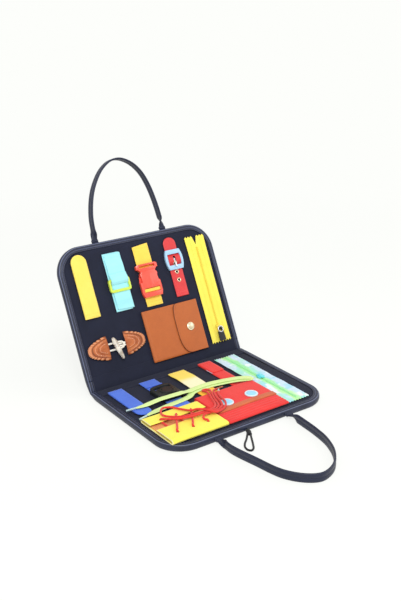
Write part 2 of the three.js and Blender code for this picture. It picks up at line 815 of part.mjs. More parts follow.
function loopStrip(middle, width, start, length, tipRadius) {
  const shape = roundedStrip(middle, width, start, start + length, tipRadius);
  const low = liningFace + layerGap;
  return plate(shape, low, low + loopStripThickness);
}

function hookStrap(middle, width, start, length, tipRadius) {
  const shape = roundedStrip(middle, width, start, start + length, tipRadius);
  const low = liningFace + 2 * layerGap + loopStripThickness;
  return plate(shape, low, low + hookThickness);
}

function addYellowHookStrap(page) {
  const stripWidth = yellowHookWidth - 2 * layerGap;
  const strip = loopStrip(
    yellowHookPlace, stripWidth, yellowHookStart, yellowHookLength - loopStripShort, stripWidth / 2,
  );
  addPiece(page, 'yellow_loop_strip', strip, yellowFabric);
  const strap = hookStrap(
    yellowHookPlace, yellowHookWidth, yellowHookStart, yellowHookLength, yellowHookWidth / 2,
  );
  addPiece(page, 'yellow_hook_strap', strap, yellowFabric);
}

function addBlueHookStrap(page) {
  const stripWidth = blueHookWidth - 2 * layerGap;
  const strip = loopStrip(
    blueHookPlace, stripWidth, blueHookStart, blueHookLength - loopStripShort, stripWidth / 2,
  );
  addPiece(page, 'blue_loop_strip', strip, blueWebbing);
  const strap = hookStrap(
    blueHookPlace, blueHookWidth, blueHookStart, blueHookLength, blueHookWidth / 2,
  );
  addPiece(page, 'blue_hook_strap', strap, blueWebbing);
}

function addRedHookStrap(page) {
  const strip = loopStrip(redHookPlace, redHookWidth, redHookStart, redStripLength, redTipRadius);
  addPiece(page, 'red_loop_strip', strip, redFabric);
  const strap = hookStrap(redHookPlace, redHookWidth, redHookStart, redHookLength, redTipRadius);
  addPiece(page, 'red_hook_strap', strap, redFabric);
}

// The plain strap is sewn down at both ends and stands off the lining in between
function addYellowStrap(page) {
  const low = liningFace + layerGap + webbingThickness / 2;
  const end = yellowStrapStart + yellowStrapLength;
  const sewn = yellowStrapWidth / 3;
  const line = [
    [yellowStrapStart, low], [yellowStrapStart + sewn, low],
    [yellowStrapStart + 2 * sewn, low + yellowStrapCrown * crownStepShare],
    [yellowStrapStart + 3 * sewn, low + yellowStrapCrown],
    [yellowStrapStart + 4 * sewn, low + yellowStrapCrown * crownStepShare],
    [yellowStrapStart + 5 * sewn, low], [end, low],
  ];
  const left = yellowStrapPlace - yellowStrapWidth / 2;
  const strap = alongX(bandShape(line, webbingThickness), left, left + yellowStrapWidth);
  addPiece(page, 'yellow_strap', strap, yellowWebbing);
}

// Webbing

function flatWebbing(middle, width, start, end) {
  return block(middle - width / 2, middle + width / 2, start, end, webbingLow, webbingLow + webbingThickness);
}

// Webbing that runs under a buckle's bar, up through the slot behind it and down again
function loopedWebbing(middle, width, start, slotStart, slotEnd, crown) {
  const inset = layerGap + webbingThickness / 2;
  const line = [
    [start, webbingMiddle], [slotStart + inset, webbingMiddle], [slotStart + inset, crown],
    [slotEnd - inset, crown], [slotEnd - inset, webbingMiddle],
  ];
  return alongX(bandShape(line, webbingThickness), middle - width / 2, middle + width / 2);
}

function addTriGlide(page) {
  const end = cyanStart + cyanLength;
  const base = flatWebbing(cyanPlace, cyanWidth, cyanStart, end);
  const raised = webbingMiddle + cyanRise;
  const rampIn = cyanStart + cyanRampIn;
  const rampOut = end - cyanRampOut;
  const line = [
    [rampIn - cyanRamp, webbingMiddle], [rampIn, webbingMiddle], [rampIn + cyanRamp, raised],
    [rampOut - cyanRamp, raised], [rampOut, webbingMiddle], [rampOut + cyanRamp, webbingMiddle],
  ];
  const left = cyanPlace + cyanShift - cyanWidth / 2;
  const upper = alongX(bandShape(line, webbingThickness), left, left + cyanWidth);
  addPiece(page, 'cyan_webbing', join(base, upper), cyanWebbing);

  const middle = cyanPlace + cyanShift / 2;
  const inner = (cyanWidth + cyanShift) / 2 + layerGap;
  const outer = inner + glideSide;
  const start = glideMiddle - glideLength / 2;
  const low = strapPassage;
  const barLow = raised + webbingThickness / 2 + layerGap;
  const high = barLow + glideBarThickness;
  const outline = roundedStrip(middle, 2 * outer, start, start + glideLength, glideCorner, glideCorner);
  const body = plate(outline, low, high);
  const between = [start + glideEndBar, start + glideLength - glideEndBar];
  const opening = block(middle - inner, middle + inner, between[0], between[1], low - cutOverrun, high + cutOverrun);
  const under = block(middle - inner, middle + inner, start - cutOverrun, start + glideLength + cutOverrun,
    low - cutOverrun, barLow);
  const bar = block(middle - outer + layerGap, middle + outer - layerGap, glideMiddle - glideCentreBar / 2,
    glideMiddle + glideCentreBar / 2, low, low + glideCentreThickness);
  addPiece(page, 'tri_glide', join(cut(body, opening, under), bar), limePlastic);
}

// A buckle body: an outline in x and d under a crown that falls towards both sides
function crownedBody(shape, middle, width, d0, d1, low, edgeHeight, height) {
  const half = width / 2;
  const crown = new THREE.Shape();
  crown.moveTo(middle - half - cutOverrun, low);
  crown.lineTo(middle + half + cutOverrun, low);
  crown.lineTo(middle + half + cutOverrun, low + edgeHeight);
  crown.lineTo(middle + half, low + edgeHeight);
  crown.quadraticCurveTo(middle, low + 2 * height - edgeHeight, middle - half, low + edgeHeight);
  crown.lineTo(middle - half - cutOverrun, low + edgeHeight);
  return common(plate(shape, low, low + height), alongD(crown, d0 - cutOverrun, d1 + cutOverrun));
}

function addSideRelease(page) {
  const slotStart = socketStart + socketBar;
  const slotEnd = slotStart + socketSlot;
  const crown = liningFace + releaseEdgeHeight;
  const lower = loopedWebbing(releasePlace, releaseWebbing, releaseLowerStart, slotStart, slotEnd, crown);
  addPiece(page, 'release_strap_lower', lower, yellowWebbing);
  const upper = flatWebbing(releasePlace, releaseWebbing, plugStart + plugTravelClearance, releaseUpperEnd);
  addPiece(page, 'release_strap_upper', upper, yellowWebbing);

  const low = liningFace + buckleFoot;
  const high = low + releaseHeight;
  const end = socketStart + socketLength;
  const shoulder = socketWidth / 2 - socketWaist / 2;
  const outline = new THREE.Shape();
  outline.moveTo(releasePlace - socketEndWidth / 2, socketStart);
  outline.lineTo(releasePlace + socketEndWidth / 2, socketStart);
  outline.lineTo(releasePlace + socketWidth / 2, socketStart + socketBar);
  outline.lineTo(releasePlace + socketWidth / 2, slotEnd + shoulder);
  outline.quadraticCurveTo(releasePlace + socketWidth / 2, end - socketWindow,
    releasePlace + socketWaist / 2, end);
  outline.lineTo(releasePlace - socketWaist / 2, end);
  outline.quadraticCurveTo(releasePlace - socketWidth / 2, end - socketWindow,
    releasePlace - socketWidth / 2, slotEnd + shoulder);
  outline.lineTo(releasePlace - socketWidth / 2, socketStart + socketBar);
  const body = crownedBody(outline, releasePlace, socketWidth, socketStart, end, low, releaseEdgeHeight,
    releaseHeight);
  const ridge = new THREE.SphereGeometry(1, ridgeSegments, ridgeRings);
  ridge.scale(ridgeWidth / 2, ridgeLength / 2, ridgeHeight);
  ridge.translate(releasePlace, end - socketLip - ridgeLength / 2, high - ridgeHeight / 2);
  const strapHalf = releaseWebbing / 2 + layerGap;
  const ladder = block(releasePlace - strapHalf, releasePlace + strapHalf, slotStart, slotEnd,
    low - cutOverrun, high + cutOverrun);
  const passage = block(releasePlace - strapHalf, releasePlace + strapHalf, socketStart - cutOverrun, slotEnd,
    low - cutOverrun, strapPassage);
  const floor = low + socketFloor;
  const ceiling = floor + socketChannelHeight;
  const channelHalf = socketChannelWidth / 2;
  const channel = block(releasePlace - channelHalf, releasePlace + channelHalf, end - socketChannelDepth,
    end + cutOverrun, floor, ceiling);
  const windows = block(releasePlace - socketWidth, releasePlace + socketWidth, end - socketLip - socketWindow,
    end - socketLip, floor, ceiling);
  const socket = cut(join(body, ridge), ladder, passage, channel, windows);
  addPiece(page, 'release_buckle_socket', socket, redPlastic);

  const plugEnd = plugStart + plugLength;
  const ears = new THREE.Shape();
  ears.moveTo(releasePlace - plugNeck / 2, plugStart);
  ears.lineTo(releasePlace + plugNeck / 2, plugStart);
  ears.quadraticCurveTo(releasePlace + plugNeck / 2 + plugSlot / 2, plugStart + plugSlot,
    releasePlace + plugWidth / 2, plugStart + plugSlot);
  ears.lineTo(releasePlace + plugWidth / 2, plugEnd - plugSlot / 2);
  ears.lineTo(releasePlace + plugWidth / 2 - plugSlot, plugEnd);
  ears.lineTo(releasePlace - plugWidth / 2 + plugSlot, plugEnd);
  ears.lineTo(releasePlace - plugWidth / 2, plugEnd - plugSlot / 2);
  ears.lineTo(releasePlace - plugWidth / 2, plugStart + plugSlot);
  ears.quadraticCurveTo(releasePlace - plugNeck / 2 - plugSlot / 2, plugStart + plugSlot,
    releasePlace - plugNeck / 2, plugStart);
  const head = crownedBody(ears, releasePlace, plugWidth, plugStart, plugEnd, low, releaseEdgeHeight,
    releaseHeight);
  const headPassage = block(releasePlace - strapHalf, releasePlace + strapHalf, plugStart - cutOverrun,
    plugEnd + cutOverrun, low - cutOverrun, strapPassage);
  const headSlot = block(releasePlace - strapHalf, releasePlace + strapHalf, plugStart + plugSlotInset,
    plugStart + plugSlotInset + plugSlot, low - cutOverrun, high + cutOverrun);
  const armLow = floor + plugTravelClearance;
  const armHigh = ceiling - plugTravelClearance;
  const armOuter = channelHalf - plugTravelClearance;
  const armStart = plugStart - plugArmLength;
  const arms = [-1, 1].map((side) => {
    const x0 = releasePlace + side * armOuter;
    const x1 = releasePlace + side * (armOuter - plugArmWidth);
    const tip = releasePlace + side * (armOuter - plugArmWidth / 2);
    const arm = shapeOf([
      [x0, plugStart + plugSlot], [x0, armStart + plugArmWidth], [tip, armStart],
      [x1, armStart + plugArmWidth / 2], [x1, plugStart + plugSlot],
    ]);
    return plate(arm, armLow, armHigh);
  });
  const guide = plate(roundedStrip(releasePlace, plugGuideWidth, armStart + plugArmWidth, plugStart + plugSlot,
    0, plugGuideWidth / 2), armLow, armHigh);
  const plug = join(cut(head, headPassage, headSlot), ...arms, guide);
  addPiece(page, 'release_buckle_plug', plug, redPlastic);
}

function addCentrePush(page) {
  const low = liningFace + buckleFoot;
  const high = low + pushHeight;
  const end = pushBodyStart + pushBodyLength;
  const slotStart = pushBodyStart + pushBar;
  const slotEnd = slotStart + pushSlot;
  const crown = liningFace + releaseEdgeHeight;
  const upper = loopedWebbing(pushPlace, pushWebbing, pushUpperStart, slotStart, slotEnd, crown);
  addPiece(page, 'push_strap_upper', upper, blueWebbing);
  const lower = flatWebbing(pushPlace + pushLowerShift, pushWebbing, pushLowerStart,
    pushLowerStart + pushLowerLength);
  addPiece(page, 'push_strap_lower', lower, blueWebbing);

  const outline = roundedStrip(pushPlace, pushBodyWidth, pushBodyStart, end, pushCorner / 2, pushCorner);
  const body = crownedBody(outline, pushPlace, pushBodyWidth, pushBodyStart, end, low, pushEdgeHeight, pushHeight);
  const strapHalf = pushWebbing / 2 + layerGap;
  const ladder = block(pushPlace - strapHalf, pushPlace + strapHalf, slotStart, slotEnd, low - cutOverrun,
    high + cutOverrun);
  const passage = block(pushPlace - strapHalf, pushPlace + strapHalf, pushBodyStart - cutOverrun, slotEnd,
    low - cutOverrun, strapPassage);
  const floor = low + pushFloor;
  const ceiling = floor + pushChannelHeight;
  const channelHalf = pushChannelWidth / 2;
  const channel = block(pushPlace - channelHalf, pushPlace + channelHalf, end - pushChannelDepth, end + cutOverrun,
    floor, ceiling);
  const buttonLine = end - pushButtonInset;
  const buttonRadius = pushButtonDiameter / 2;
  const wellRadius = buttonRadius + pushButtonGap;
  const well = disc(wellRadius, pushPlace, buttonLine, ceiling - layerGap, high + cutOverrun, roundSegments);
  const ringTop = high + pushRingHeight;
  const ring = disc(wellRadius + pushRingWidth, pushPlace, buttonLine, high - pushHeight / 4, ringTop, roundSegments);
  addPiece(page, 'push_buckle_body', cut(join(body, ring), ladder, passage, channel, well), blackPlastic);

  const buttonLow = floor + layerGap + pushTongueThickness + layerGap + pushButtonLift;
  const buttonTop = ringTop + pushButtonProud - buttonLow;
  const dish = pushRingHeight / 2;
  const button = turned([
    [0, 0], [buttonRadius, 0], [buttonRadius, buttonTop - dish], [buttonRadius - dish, buttonTop],
    [buttonRadius / 2, buttonTop - dish], [0, buttonTop - dish],
  ], pushPlace, buttonLine, buttonLow);
  addPiece(page, 'push_buckle_button', button, blackPlastic);

  const tongueLow = floor + layerGap;
  const blockStart = end + pushBlockGap;
  const blockEnd = blockStart + pushBlockLength;
  const neckHalf = channelHalf - plugTravelClearance;
  const neck = plate(roundedStrip(pushPlace, 2 * neckHalf, end - pushChannelDepth + plugTravelClearance,
    blockStart + pushBlockGap, 0, pushCorner / 2), tongueLow, tongueLow + pushTongueThickness);
  const catchHole = disc(pushTongueHole / 2, pushPlace, buttonLine, tongueLow - cutOverrun, high);
  const headShape = roundedStrip(pushPlace, pushBodyWidth - 2 * pushBlockGap, blockStart, blockEnd,
    pushCorner / 2, pushBlockGap);
  const head = crownedBody(headShape, pushPlace, pushBodyWidth, blockStart, blockEnd, low, pushEdgeHeight,
    pushHeight - pushBlockGap);
  const lowerHalf = strapHalf + Math.abs(pushLowerShift);
  const headPassage = block(pushPlace - lowerHalf, pushPlace + lowerHalf, blockStart - cutOverrun,
    blockEnd + cutOverrun, low - cutOverrun, strapPassage);
  const slotMiddle = (blockStart + blockEnd) / 2;
  const headSlot = block(pushPlace - strapHalf, pushPlace + strapHalf, slotMiddle - pushBlockGap,
    slotMiddle + pushBlockGap, low - cutOverrun, high + cutOverrun);
  addPiece(page, 'push_buckle_tongue', join(cut(neck, catchHole), cut(head, headPassage, headSlot)), blackPlastic);
}

// Belt, frame buckle and prong

function addBelt(page) {
  const end = beltStart + beltLength;
  const hump = liningFace + centreBarHeight + centreBarDiameter / 2 + layerGap + beltThickness / 2;
  const windowStart = frameStart + frameBar;
  const windowEnd = frameEnd - frameBar;
  const foot = layerGap * 3;
  const line = [
    [beltStart, beltMiddle], [windowStart + foot, beltMiddle], [windowStart + foot + beltHumpRun, hump],
    [windowEnd - foot - beltHumpRun, hump], [windowEnd - foot, beltMiddle], [end, beltMiddle],
  ];
  const left = beltPlace - beltWidth / 2;
  const ribbon = alongX(bandShape(line, beltThickness), left, left + beltWidth);
  const outline = roundedStrip(beltPlace, beltWidth, beltStart, end, beltTipRadius);
  const shaped = common(ribbon, plate(outline, liningFace, hump + cutOverrun));
  const top = beltMiddle + beltThickness / 2;
  const rings = [];
  const holes = [];
  for (let i = 0; i < eyeletCount; i += 1) {
    const place = frameStart - eyeletToFrame - i * eyeletPitch;
    rings.push(disc(eyeletDiameter / 2, beltPlace, place, top - beltThickness / 2, top + eyeletHeight));
    holes.push(disc(eyeletHole / 2, beltPlace, place, liningFace - cutOverrun, top + cutOverrun, eyeletSegments));
  }
  const slotEnd = centreBarLine + prongEye + prongThickness + layerGap;
  const slot = roundedStrip(beltPlace, beltHoleWidth, windowStart + foot / 2, slotEnd, beltHoleWidth / 2,
    beltHoleWidth / 2);
  const prongHole = plate(slot, liningFace - cutOverrun, hump + cutOverrun);
  addPiece(page, 'belt_strap', cut(join(shaped, ...rings), prongHole, ...holes), redLeather);
}

function barrelOutline(inset) {
  const half = frameWidth / 2 - inset;
  const endHalf = frameEndWidth / 2 - inset / 2;
  const low = frameStart + inset;
  const high = frameEnd - inset;
  const shape = new THREE.Shape();
  shape.moveTo(beltPlace - endHalf, low);
  shape.lineTo(beltPlace + endHalf, low);
  shape.quadraticCurveTo(beltPlace + 2 * half - endHalf, frameMiddle, beltPlace + endHalf, high);
  shape.lineTo(beltPlace - endHalf, high);
  shape.quadraticCurveTo(beltPlace - 2 * half + endHalf, frameMiddle, beltPlace - endHalf, low);
  return shape;
}

function addBeltBuckle(page) {
  const body = plate(barrelOutline(0), frameLow, frameTop);
  const innerHalf = beltWidth / 2 + layerGap * 2;
  const opening = plate(
    roundedStrip(beltPlace, 2 * innerHalf, frameStart + frameBar, frameEnd - frameBar, frameCornerRadius,
      frameCornerRadius),
    frameLow - cutOverrun, frameTop + cutOverrun,
  );
  const passage = block(beltPlace - innerHalf, beltPlace + innerHalf, frameStart - cutOverrun,
    frameEnd + cutOverrun, frameLow - cutOverrun, frameBarLow);
  const reach = innerHalf + frameSide / 4;
  const bar = rodX(centreBarDiameter / 2, beltPlace - reach, beltPlace + reach, centreBarLine,
    liningFace + centreBarHeight);
  addPiece(page, 'belt_buckle_frame', join(cut(body, opening, passage), bar), paleBluePlastic);

  const eyeHeight = liningFace + centreBarHeight;
  const restHeight = frameTop + layerGap + prongThickness / 2;
  const innerEdge = frameStart + frameBar;
  const line = [
    [centreBarLine - prongEye / 2, eyeHeight + prongEye - prongThickness / 2],
    [innerEdge + prongThickness, restHeight], [innerEdge - prongTipPast, restHeight],
  ];
  const arm = alongX(bandShape(line, prongThickness), beltPlace - prongWidth / 2, beltPlace + prongWidth / 2);
  const eye = rodX(prongEye, beltPlace - prongWidth / 2, beltPlace + prongWidth / 2, centreBarLine, eyeHeight);
  const bore = rodX(centreBarDiameter / 2 + prongEyeClearance, beltPlace - prongWidth, beltPlace + prongWidth,
    centreBarLine, eyeHeight);
  addPiece(page, 'belt_prong', cut(join(arm, eye), bore), steel);
}

// Zips

function pinkedTape(middle, width, start, length, notchWidth, notchLength) {
  const left = middle - width / 2;
  const count = Math.round(width / pinkingPitch);
  const pitch = width / count;
  const points = [];
  for (let i = 0; i < count; i += 1) {
    points.push([left + i * pitch, start], [left + (i + 0.5) * pitch, start + pinkingDepth]);
  }
  points.push([left + width, start]);
  const end = start + length;
  for (let i = count; i > 0; i -= 1) {
    points.push([left + i * pitch, end - pinkingDepth], [left + (i - 0.5) * pitch, end]);
  }
  points.push([left, end - pinkingDepth]);
  const low = liningFace + layerGap;
  const tape = plate(shapeOf(points), low, low + tapeThickness);
  if (notchLength === 0) {
    return tape;
  }
  const notch = shapeOf([
    [middle - notchWidth / 2, end + pinkingDepth], [middle, end - notchLength],
    [middle + notchWidth / 2, end + pinkingDepth],
  ]);
  return cut(tape, plate(notch, low - cutOverrun, low + cutOverrun));
}

function toothedChain(middle, start, end) {
  const low = liningFace + layerGap + tapeThickness / 2;
  const root = liningFace + layerGap + tapeThickness + toothRoot;
  const top = liningFace + layerGap + tapeThickness + chainHeight;
  const points = [[start, low]];
  const count = Math.floor((end - start) / toothPitch);
  for (let i = 0; i < count; i += 1) {
    const place = start + i * toothPitch;
    points.push([place, top], [place + toothPitch - toothGap, top]);
    points.push([place + toothPitch - toothGap, root]);
    if (i < count - 1) {
      points.push([place + toothPitch, root]);
    }
  }
  points.push([start + count * toothPitch - toothGap, low]);
  const chain = alongX(shapeOf(points.reverse()), middle - chainWidth / 2, middle + chainWidth / 2);
  return chain;
}

function zipTape(middle, width, start, length, notchWidth, notchLength) {
  const tape = pinkedTape(middle, width, start, length, notchWidth, notchLength);
  const chainStart = start + pinkingDepth + toothPitch;
  const chainEnd = start + length - notchLength - pinkingDepth - toothPitch;
  return join(tape, toothedChain(middle, chainStart, chainEnd));
}

function sliderBody(middle, place) {
  const start = place - sliderLength / 2;
  const end = place + sliderLength / 2;
  const shape = shapeOf([
    [middle - sliderNose / 2, start], [middle + sliderNose / 2, start],
    [middle + sliderWidth / 2, place], [middle + sliderWidth / 2, end],
    [middle - sliderWidth / 2, end], [middle - sliderWidth / 2, place],
  ]);
  const body = plate(shape, tapeTop + layerGap, sliderTop);
  const tunnelHalf = chainWidth / 2 + layerGap;
  const tunnel = block(middle - tunnelHalf, middle + tunnelHalf, start - cutOverrun, end + cutOverrun,
    tapeTop - cutOverrun, sliderTop - sliderPlate);
  return cut(body, tunnel);
}

function sliderBridge(middle, place) {
  const half = bridgeLength / 2;
  const top = sliderTop + bridgeHeight;
  const arch = shapeOf([
    [place - half, sliderTop - sliderPlate / 2], [place + half, sliderTop - sliderPlate / 2],
    [place + half, sliderTop + bridgeHeight / 2], [place + half / 2, top], [place - half / 2, top],
    [place - half, sliderTop + bridgeHeight / 2],
  ]);
  const bridge = alongX(arch, middle - bridgeWidth / 2, middle + bridgeWidth / 2);
  const hole = rodX(bridgeHole / 2, middle - bridgeWidth, middle + bridgeWidth, place,
    sliderTop + bridgeHoleHeight);
  return [bridge, hole];
}

function addYellowZip(page) {
  const tape = zipTape(yellowZipPlace, yellowZipWidth, yellowZipStart, yellowZipLength, yellowNotchWidth,
    yellowNotchLength);
  addPiece(page, 'yellow_zip_tape', tape, yellowFabric);
  const [bridge, hole] = sliderBridge(yellowZipPlace, yellowSliderPlace);
  const slider = cut(join(sliderBody(yellowZipPlace, yellowSliderPlace), bridge), hole);
  addPiece(page, 'yellow_zip_slider', slider, blackPlastic);

  const pinHeight = sliderTop + bridgeHoleHeight;
  const tabHeight = pinHeight - pullDrop;
  const tabEnd = yellowSliderPlace - pullReach;
  const armLine = [[yellowSliderPlace + pullThickness / 2, pinHeight], [tabEnd, tabHeight]];
  const armShape = bandShape(armLine, pullThickness);
  const inner = bridgeWidth / 2 + pullEyeGap;
  const arms = [-1, 1].map((side) => {
    const near = yellowZipPlace + side * inner;
    const far = near + side * pullArm;
    return alongX(armShape, Math.min(near, far), Math.max(near, far));
  });
  const pin = rodX(pullPin / 2, yellowZipPlace - inner - pullArm / 2, yellowZipPlace + inner + pullArm / 2,
    yellowSliderPlace, pinHeight, pinSegments);
  const tabShape = shapeOf([
    [yellowZipPlace - pullWidth / 2, tabEnd + pullArm], [yellowZipPlace - pullTipWidth / 2, tabEnd - pullLength],
    [yellowZipPlace + pullTipWidth / 2, tabEnd - pullLength], [yellowZipPlace + pullWidth / 2, tabEnd + pullArm],
  ]);
  const tab = plate(tabShape, tabHeight - pullThickness / 2, tabHeight + pullThickness / 2);
  addPiece(page, 'yellow_zip_pull', join(tab, pin, ...arms), blackPlastic);
}

function addPastelZip(page) {
  const tape = zipTape(pastelZipPlace, pastelZipWidth, pastelZipStart, pastelZipLength, 0, 0);
  addPiece(page, 'pastel_zip_tape', tape, pastelTape);
  const body = sliderBody(pastelZipPlace, pastelSliderPlace);
  const tabStart = pastelSliderPlace - sliderLength / 4;
  const tabShape = roundedStrip(pastelZipPlace, sliderNose, tabStart, tabStart + pastelTabLength, sliderNose / 2);
  const tab = plate(tabShape, sliderTop - sliderPlate / 2, sliderTop + pullThickness / 2);
  addPiece(page, 'pastel_zip_slider', join(body, tab), cyanPlastic);
}

// Toggle fastening

function patchOutline(edge, direction) {
  const points = [];
  const steps = scallopCount * 4;
  for (let i = 0; i <= steps; i += 1) {
    const along = (i / steps) * 2 - 1;
    const bulge = 1 - Math.abs(along) ** fanShare;
    const scallop = scallopDepth * Math.abs(Math.sin((i / steps) * scallopCount * Math.PI));
    const reach = bulge * (patchLength - scallopDepth) + scallop;
    const width = (patchHeight / 2) * along;
    points.push([edge + direction * reach, toggleLine + width]);
  }
  return shapeOf(points);
}

function addPatch(page, name, edge, direction) {
  const low = liningFace + layerGap;
  addPiece(page, name, plate(patchOutline(edge, direction), low, low + patchThickness), brownLeather);
}

function addToggle(page) {
  addPatch(page, 'toggle_patch_left', leftPatchEdge, -1);
  addPatch(page, 'toggle_patch_right', rightPatchEdge, 1);
  addPiece(page, 'toggle_loop', cordAlong(toggleLoopRoute, toggleCord), creamCord);
  addPiece(page, 'toggle_cord', cordAlong(toggleCordRoute, toggleCord), creamCord);

  const half = toggleLength / 2;
  const neckLow = toggleNeckOffset - toggleNeckWidth / 2;
  const neckHigh = toggleNeckOffset + toggleNeckWidth / 2;
  const profile = [
    [0, -half], [toggleTipRadius, -half + toggleTipRadius / 2], [toggleTaperRadius, -half / 2],
    [toggleRadius, neckLow - toggleNeckWidth / 2], [toggleNeckRadius, neckLow], [toggleNeckRadius, neckHigh],
    [toggleRadius, neckHigh + toggleNeckWidth / 4], [toggleNeckRadius, half - toggleRadius],
    [toggleTipRadius, half - toggleTipRadius / 2], [0, half],
  ];
  const barrel = new THREE.LatheGeometry(profile.map(([r, y]) => new THREE.Vector2(r, y)), toggleSegments);
  barrel.translate(0, -toggleNeckOffset, 0);
  barrel.rotateZ(THREE.MathUtils.degToRad(toggleTilt));
  barrel.translate(togglePlace, toggleLine, liningFace + toggleHeight);
  addPiece(page, 'toggle_horn', barrel, horn);
}

// Wallet

function addWallet(page) {
  const back = liningFace + layerGap + leather / 2;
  const front = back + leather + walletRoom;
  const middle = (back + front) / 2;
  const foldRadius = (front - back) / 2;
  const left = walletLeft + leather / 2;
  const line = [
    [walletRight, back], [left + foldRadius, back], [left, middle], [left + foldRadius, front],
    [walletRight - leather, front],
  ];
  addPiece(page, 'wallet_body', alongD(bandShape(line, leather), walletStart, walletEnd), brownLeather);

  const flapHeight = front + leather + layerGap;
  const edge = walletRight + layerGap + leather / 2;
  const flapLine = [[edge, back], [edge, flapHeight], [walletRight - walletFlapReach, flapHeight]];
  const ribbon = alongD(bandShape(flapLine, leather), walletStart, walletEnd);
  const far = edge + leather;
  const waist = (walletStart + walletEnd) / 2;
  const outline = new THREE.Shape();
  outline.moveTo(far, walletStart);
  outline.lineTo(walletRight - walletFlapBottomInset, walletStart);
  outline.bezierCurveTo(walletRight - walletFlapReach, walletStart, walletRight - walletFlapReach,
    waist - walletFlapBottomInset / 2, walletRight - walletFlapReach, waist);
  outline.bezierCurveTo(walletRight - walletFlapReach, waist + walletFlapBottomInset / 2,
    walletRight - walletFlapReach, walletEnd, walletRight - walletFlapTopInset, walletEnd);
  outline.lineTo(far, walletEnd);
  const flap = common(ribbon, plate(outline, liningFace - cutOverrun, flapHeight + cutOverrun));
  addPiece(page, 'wallet_flap', flap, brownLeather);
  const snapLow = flapHeight + leather / 2 + layerGap;
  addPiece(page, 'wallet_snap', snapCap(walletSnapDiameter, walletSnapHeight, walletRight - walletSnapInset,
    waist, snapLow), steel);
}

function snapCap(diameter, height, x, d, low) {
  const radius = diameter / 2;
  const profile = [
    [0, 0], [radius, 0], [radius, height / 2], [radius - height / 2, height],
    [radius * dishShare, height - dishDepth], [0, height - dishDepth],
  ];
  return turned(profile, x, d, low);
}

// Pouch

function addPouch(page) {
  const back = liningFace + layerGap + pouchCloth / 2;
  const front = back + pouchCloth + pouchRoom;
  const turn = (front - back) / 2;
  const line = [
    [pouchStart, back], [pouchEnd - pouchCloth / 2 - turn, back], [pouchEnd - pouchCloth / 2, back + turn],
    [pouchEnd - pouchCloth / 2 - turn, front], [pouchStart + pouchMouthInset, front],
  ];
  addPiece(page, 'pouch_body', alongX(bandShape(line, pouchCloth), pouchLeft, pouchRight), redFabric);

  const flapHeight = front + pouchCloth + layerGap;
  const edge = pouchStart - layerGap - pouchCloth / 2;
  const flapEnd = edge + pouchFlapDepth;
  const flapLine = [[edge, back], [edge, flapHeight], [flapEnd, flapHeight]];
  const x0 = pouchLeft + pouchFlapInset;
  const flap = alongX(bandShape(flapLine, pouchCloth), x0, pouchRight);
  const top = flapHeight + pouchCloth / 2;
  const trim = block(x0, pouchRight, flapEnd - pouchTrimWidth, flapEnd, flapHeight, top + pouchTrimHeight);
  addPiece(page, 'pouch_flap', join(flap, trim), redFabric);
  const centre = (pouchLeft + pouchRight) / 2;
  [['pouch_snap_left', -1], ['pouch_snap_right', 1]].forEach(([name, side]) => {
    const snap = snapCap(pouchSnapDiameter, pouchSnapHeight, centre + (side * pouchSnapSpread) / 2,
      flapEnd - pouchSnapInset, top + layerGap);
    addPiece(page, name, snap, snapPlastic);
  });
}

// Lacing panel: one cloth whose front and rear edges fold over as two flaps with holes

function addLacingPanel(page) {
  const base = liningFace + layerGap + sleeveCloth / 2;
  const top = liningFace + sleeveHeight - sleeveCloth / 2;
  const middle = (base + top) / 2;
  const near = sleeveStart + sleeveCloth / 2;
  const far = sleeveEnd - sleeveCloth / 2;
  const line = [
    [sleeveStart + sleeveRearFlap, top], [near + sleeveEndRadius, top], [near, middle + sleeveCloth],
    [near, middle - sleeveCloth], [near + sleeveEndRadius / 2, base], [far - sleeveEndRadius / 2, base],
    [far, middle - sleeveCloth], [far, middle + sleeveCloth], [far - sleeveEndRadius, top],
    [sleeveEnd - sleeveFrontFlap, top],
  ];
  const cloth = alongX(bandShape(line, sleeveCloth), sleeveLeft, sleeveRight);
  const holes = [];
  laceHolePlaces.forEach((x) => {
    const rear = sleeveStart + rearHoleInset;
    const front = sleeveEnd - frontHoleInset;
    [rear, front].forEach((d) => {
      holes.push(disc(laceHole / 2, x, d, middle, top + cutOverrun, laceHoleSegments));
    });
  });
  addPiece(page, 'lacing_sleeve', cut(cloth, ...holes), yellowFabric);
  const tongueLow = liningFace + layerGap + sleeveCloth + layerGap;
  const tongue = block(sleeveLeft + tongueInset, sleeveRight - tongueInset, tongueStart,
    tongueStart + tongueDepth, tongueLow, tongueLow + tongueThickness);
  addPiece(page, 'lacing_tongue', tongue, orangeFabric);
}

// Laces with their aglets

function aglet(route, atStart, radius, length) {
  const curve = routeCurve(route);
  const end = curve.getPoint(atStart ? 0 : 1);
  const out = curve.getTangent(atStart ? 0 : 1).multiplyScalar(atStart ? -1 : 1);
  const middle = end.clone().addScaledVector(out, layerGap + length / 2);
  const rod = new THREE.CylinderGeometry(radius * agletTipShare, radius, length, agletSegments);
  rod.applyQuaternion(new THREE.Quaternion().setFromUnitVectors(axisY, out));
  return rod.translate(middle.x, middle.y, middle.z);
}

